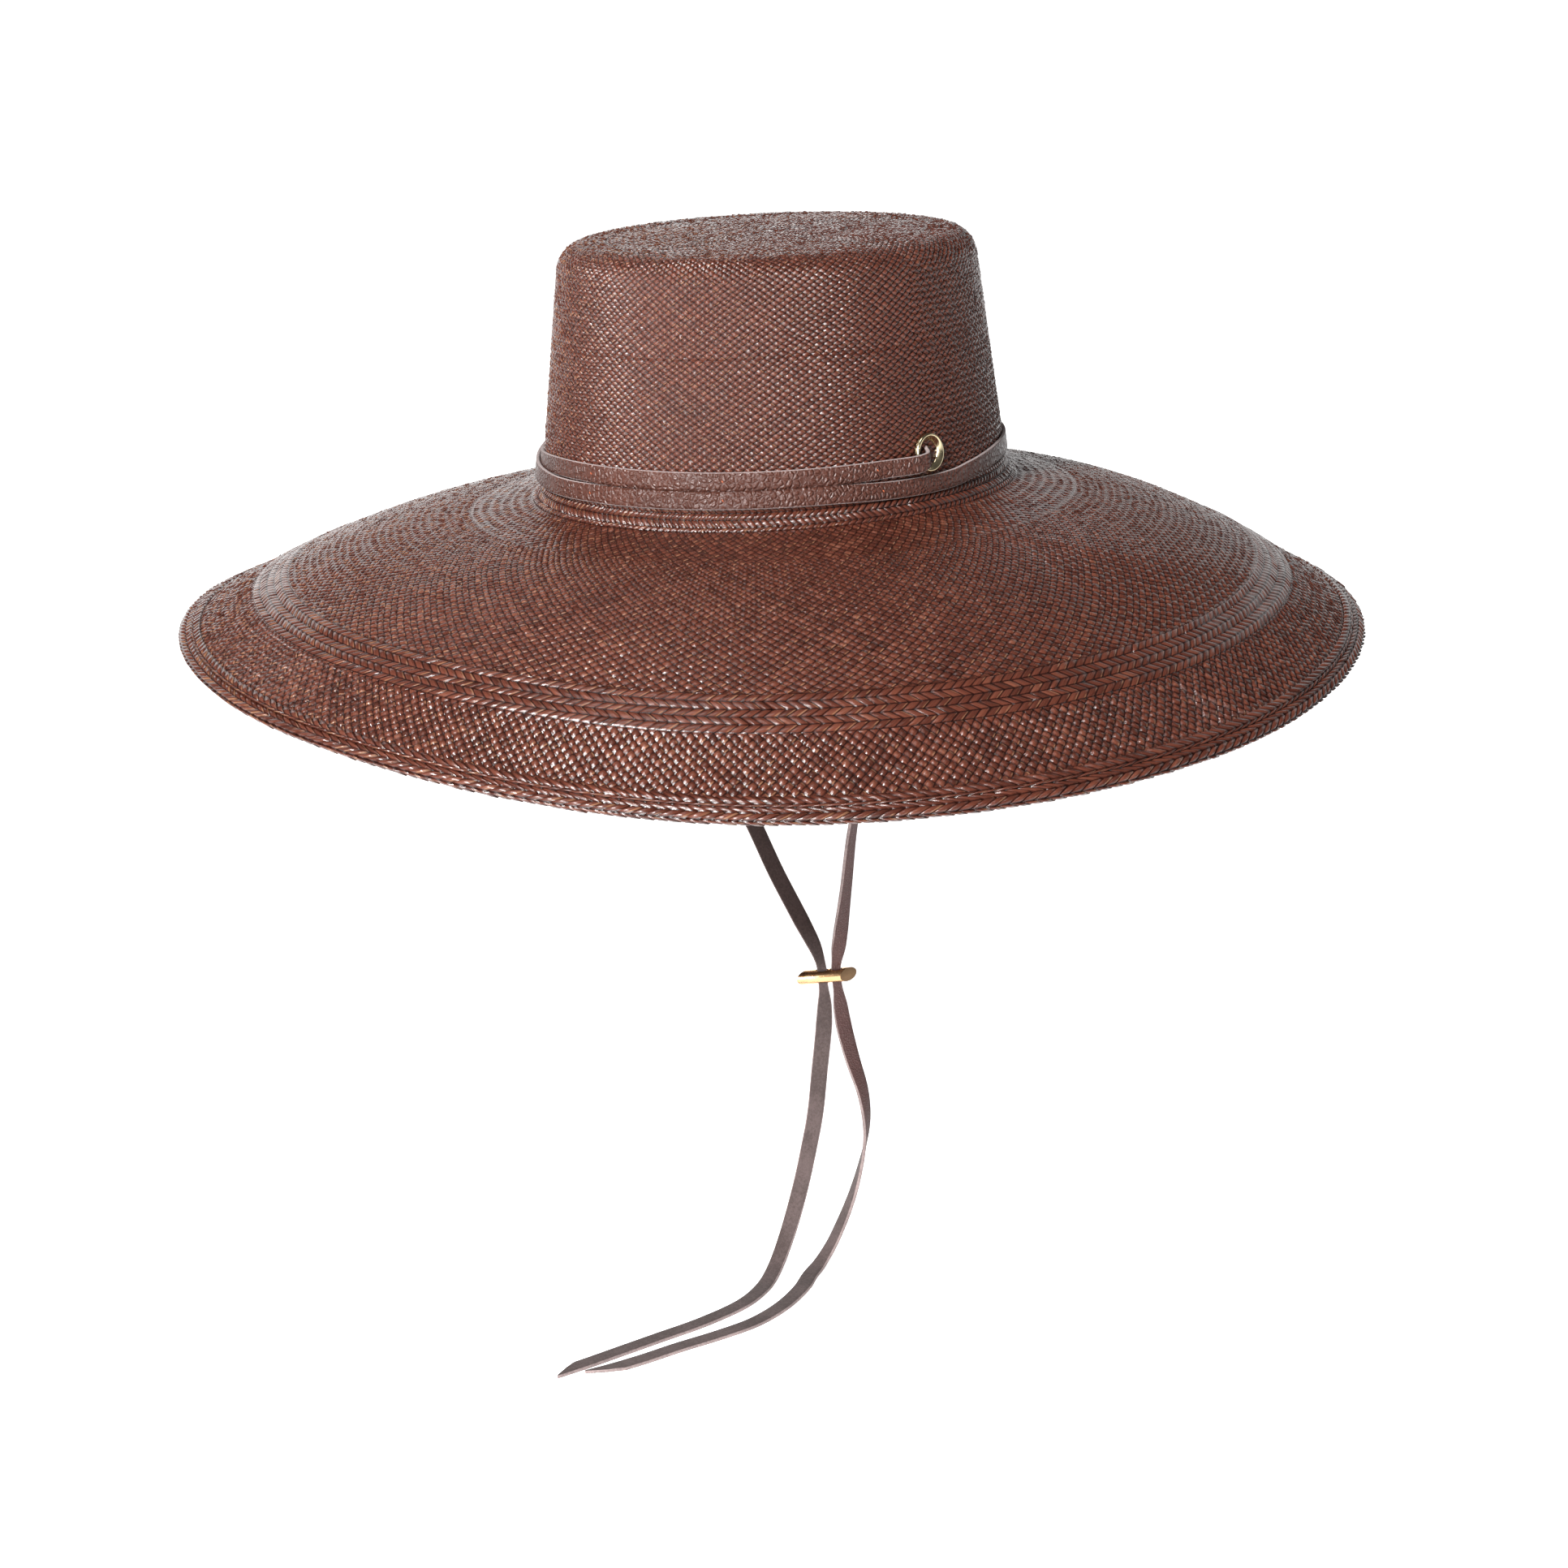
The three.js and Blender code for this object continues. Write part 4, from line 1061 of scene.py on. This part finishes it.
def underside(shell, lattice, part, place, relief, spread, swell=0.5):
    """Rows of a lattice on the underside, seen less: each crossing is a low pillow."""
    columns, rows = lattice.columns, lattice.rows
    straws, crossing = lattice.straws, lattice.crossing
    m, n = np.meshgrid(np.arange(part[0], part[1] + 1), np.arange(2 * columns), indexing="ij")
    proud = (m + n) % 2 == 0
    azimuth = n / (2 * columns) * TURN
    lift = relief * np.where(proud, 0.5 + 0.12 * crossing[m + 2, n], -0.5)
    points = place(m / rows, azimuth, lift)
    numbers = (m - part[0]) * 2 * columns + n

    def number(row_at, n_at):
        return (row_at - part[0]) * 2 * columns + n_at % (2 * columns)

    mm, nn = m[:-1], n[:-1]
    even = (mm + nn) % 2 == 0
    p00, p10 = number(mm, nn), number(mm, nn + 1)
    p01, p11 = number(mm + 1, nn), number(mm + 1, nn + 1)
    one = np.where(even[..., None], np.stack([p00, p10, p01], -1), np.stack([p00, p10, p11], -1))
    two = np.where(even[..., None], np.stack([p11, p01, p10], -1), np.stack([p00, p11, p01], -1))
    tris = np.concatenate([one.reshape(-1, 3), two.reshape(-1, 3)])
    row = np.concatenate([mm.ravel(), (mm + 1).ravel()])
    column = np.concatenate([(nn + ~even).ravel(), (nn + even).ravel()])
    forward = row % 2 == 0
    strand = np.where(forward, straws[0][(column - row) // 2 % columns],
                      straws[1][(column + row) // 2 % columns])
    tone = np.clip(strand + crossing[row + 2, column % (2 * columns)] * spread, 0, 1)
    corner_n = (n.ravel()[tris] - column[:, None] + columns) % (2 * columns) - columns
    corner_m = m.ravel()[tris] - row[:, None]
    way = np.where(forward, 1, -1)[:, None]
    u = 1 + corner_n + way * corner_m + 2.0 * row[:, None]
    v = 1 + corner_n - way * corner_m + FIBRE_APART * (column[:, None] % 97)
    # low marks the gaps between the pillows, for painted shade there
    low = np.where(proud, 0.0, 0.85)
    return shell.weave(points, numbers, azimuth, tris, low, tone, np.stack([u, v], -1), swell)


def wandering(along, azimuth, share):
    """Rows' places along the profile, less straight away from a zone's two ends."""
    steady = np.clip(np.minimum(share, 1 - share) * 8, 0, 1)
    return along + noise_wave(azimuth, along) * steady * 0.8


class Zone:
    """One lattice of the straw between two distances along the profile. The straws inside may
    be drawn fewer times, by inside."""

    def __init__(self, columns, start, stop, pitch, relief, spread=(0.1, 0.1), sink=0.0,
                 swell=1.0, inside=1):
        self.start, self.stop, self.relief, self.sink = start, stop, relief, sink
        self.spread, self.swell, self.inside = spread, swell, inside
        self.rows = 2 * inside * max(1, round((stop - start) / pitch / 2 / inside))
        self.outer = Lattice(columns, self.rows, spread[0])
        self.inner = Lattice(columns // inside, self.rows // inside, spread[0])

    def outer_place(self, share, azimuth, lift):
        along = wandering(self.start + (self.stop - self.start) * share, azimuth, share)
        return on_skin(along, azimuth, ring_lift(along) + lift - self.sink)

    def inner_place(self, share, azimuth, lift):
        along = self.start + (self.stop - self.start) * share
        return on_skin(along, azimuth, -STRAW - lift)

    def make(self, shell, part):
        part = part or (0, self.rows)
        inner_part = (part[0] // self.inside, part[1] // self.inside)
        outer = plain_weave(shell, self.outer, part, self.outer_place, self.relief, self.spread[1],
                            self.swell)
        inner = underside(shell, self.inner, inner_part, self.inner_place, INSIDE_RELIEF,
                          self.spread[1])
        return outer, inner


class HerringboneZone:
    """Rows of side-by-side straws between limits along the profile."""

    def __init__(self, columns, bounds, relief, slant, first=1, spread=0.12, swell=1.0):
        self.columns, self.bounds, self.relief, self.start = columns, bounds, relief, bounds[0]
        self.slant, self.first, self.spread, self.swell = slant, first, spread, swell
        rows = 2 * max(1, round((bounds[-1] - bounds[0]) / 1.8 / 2))
        self.inner = Lattice(columns, rows, spread)

    def outer_place(self, along, azimuth, lift):
        return on_skin(along, azimuth, ring_lift(along) + lift)

    def inner_place(self, share, azimuth, lift):
        along = self.bounds[0] + (self.bounds[-1] - self.bounds[0]) * share
        return on_skin(along, azimuth, -STRAW - lift)

    def make(self, shell, part):
        outer = herringbone(shell, self.columns, self.bounds, self.outer_place, self.relief,
                            self.slant, self.spread, self.first, self.swell)
        inner = underside(shell, self.inner, (0, self.inner.rows), self.inner_place,
                          INSIDE_RELIEF, self.spread)
        return outer, inner


def straw_piece(name, zones):
    """Closed piece of the straw from (zone, its rows or None for all), joined in order."""
    shell = Shell()
    rings = [zone.make(shell, part) for zone, part in zones]
    for (outer, inner), (next_outer, next_inner) in zip(rings, rings[1:]):
        shell.stitch(outer[1], next_outer[0])
        shell.stitch(next_inner[0], inner[1])
    if zones[0][0].start == TIP_HOLE:
        shell.cap(rings[0][0][0], on_skin(0.0, 0.0, 0.1), True)
        shell.cap(rings[0][1][0], on_skin(0.0, 0.0, -STRAW), False)
    else:
        shell.stitch(rings[0][1][0], rings[0][0][0], sharp=True)
    shell.stitch(rings[-1][0][1], rings[-1][1][1], sharp=True)
    return shell.finish(name)


WALL_TOP = at_radius(56.0)
BAND_TOP, NECK_TOP = at_height(11.5), at_height(7.0)
NECK_ROWS = [at_height(z) for z in (7.0, 4.5, 2.0, -0.5)] + [at_out(0.026)]
SMOOTH_END = at_out(0.195)
RING_START, RING_END = at_out(0.700), at_out(0.797)

wall = Zone(152, WALL_TOP, BAND_TOP, 1.3, 0.6, (0.08, 0.09), swell=0.7, inside=2)
under_band = Zone(88, BAND_TOP, NECK_TOP, 2.0, 0.1, (0.07, 0.05), sink=0.05)
neck = HerringboneZone(220, NECK_ROWS, 0.7, 0.9, 1)
smooth = Zone(196, NECK_ROWS[-1], SMOOTH_END, 1.95, 0.3, (0.12, 0.18), swell=0.3, inside=2)
main = Zone(262, SMOOTH_END, RING_START, 1.75, 0.42, (0.12, 0.12), swell=0.5)
ring = HerringboneZone(316, list(np.linspace(RING_START, RING_END, 6)), 0.3, 1.0, 0,
                       0.16, swell=0.5)
outer = Zone(340, RING_END, RIM_START + 0.4, 2.2, 0.62, (0.13, 0.15), swell=1.2)
wall_split, main_split = 4 * (wall.rows // 8), 2 * (main.rows // 4)
tip_zones = [
    Zone(columns, start, stop, 1.22, 0.4, (0.08, 0.07), swell=0.6, inside=2)
    for columns, start, stop in (
        (16, TIP_HOLE, 7.0), (32, 7.0, 14.0), (64, 14.0, 28.0), (128, 28.0, WALL_TOP))
]

straw_pieces = [
    straw_piece("straw_crown_tip", [(zone, None) for zone in tip_zones]),
    straw_piece("straw_crown_upper", [(wall, (0, wall_split))]),
    straw_piece("straw_crown_lower", [(wall, (wall_split, wall.rows)), (under_band, None)]),
    straw_piece("straw_neck", [(neck, None), (smooth, None)]),
    straw_piece("straw_brim_inner", [(main, (0, main_split))]),
    straw_piece("straw_brim_middle", [(main, (main_split, main.rows)), (ring, None)]),
    straw_piece("straw_brim_outer", [(outer, None)]),
]


def rim():
    """Braided edge: rows of long slanting straws wound right round it and back beneath."""
    shell = Shell()
    slope_along, slope_lift = np.gradient(RIM_ALONG, RIM_T), np.gradient(RIM_LIFTS, RIM_T)

    def place(t, azimuth, lift):
        along, base = np.interp(t, RIM_T, RIM_ALONG), np.interp(t, RIM_T, RIM_LIFTS)
        tilt, rise = np.interp(t, RIM_T, slope_along), np.interp(t, RIM_T, slope_lift)
        return on_skin(along - rise * lift, azimuth, base + tilt * lift)

    first, last = herringbone(shell, 316, RIM_ROWS, place, 0.95, 1.25, 0.14, 1, 1.0)
    shell.stitch(last, first)
    return shell.finish("straw_rim")


straw_pieces.append(rim())
for piece in straw_pieces:
    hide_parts("straw_body")

# Floor, world and lights

floor_mesh = bpy.data.meshes.new("floor")
corners = [(x * FLOOR_REACH, y * FLOOR_REACH, 0) for x, y in ((-1, -1), (1, -1), (1, 1), (-1, 1))]
floor_mesh.from_pydata(corners, [], [(0, 1, 2, 3)])
floor_mesh.materials.append(floor_look())
floor = bpy.data.objects.new("floor", floor_mesh)
floor.location.z = FLOOR * MM
bpy.context.collection.objects.link(floor)

world = bpy.data.worlds.new("studio")
world.use_nodes = True
background = world.node_tree.nodes["Background"]
background.inputs["Color"].default_value = (1.0, 1.0, 1.0, 1)
background.inputs["Strength"].default_value = 0.1
bpy.context.scene.world = world


def softbox(name, azimuth, elevation, distance, width, height, power):
    """Area light at an azimuth measured from +X, aimed at the hat."""
    light = bpy.data.lights.new(name, "AREA")
    light.shape, light.size, light.size_y, light.energy = "RECTANGLE", width, height, power
    holder = bpy.data.objects.new(name, light)
    a, e = math.radians(azimuth), math.radians(elevation)
    way = Vector((math.cos(a) * math.cos(e), math.sin(a) * math.cos(e), math.sin(e)))
    holder.location = Vector(LIT_CENTRE) * MM + way * distance
    holder.rotation_mode = "QUATERNION"
    holder.rotation_quaternion = (-way).to_track_quat("-Z", "Y")
    bpy.context.collection.objects.link(holder)


softbox("key_front", -71, 29, 1.7, 0.24, 0.5, 55)
softbox("glint", -57, 4, 1.7, 0.15, 0.8, 15)
softbox("left", -140, 30, 2.0, 1.2, 1.2, 0.8)
softbox("back_left", 154, 12, 2.4, 2.0, 1.4, 13)
softbox("back_middle", 120, 13, 2.4, 1.6, 1.4, 6)
softbox("top", -80, 76, 1.7, 0.6, 0.6, 6)
softbox("back_right", 88, 20, 2.4, 1.0, 1.2, 2.5)

scene = bpy.context.scene
scene.view_settings.view_transform = "Standard"
scene.view_settings.look = "None"
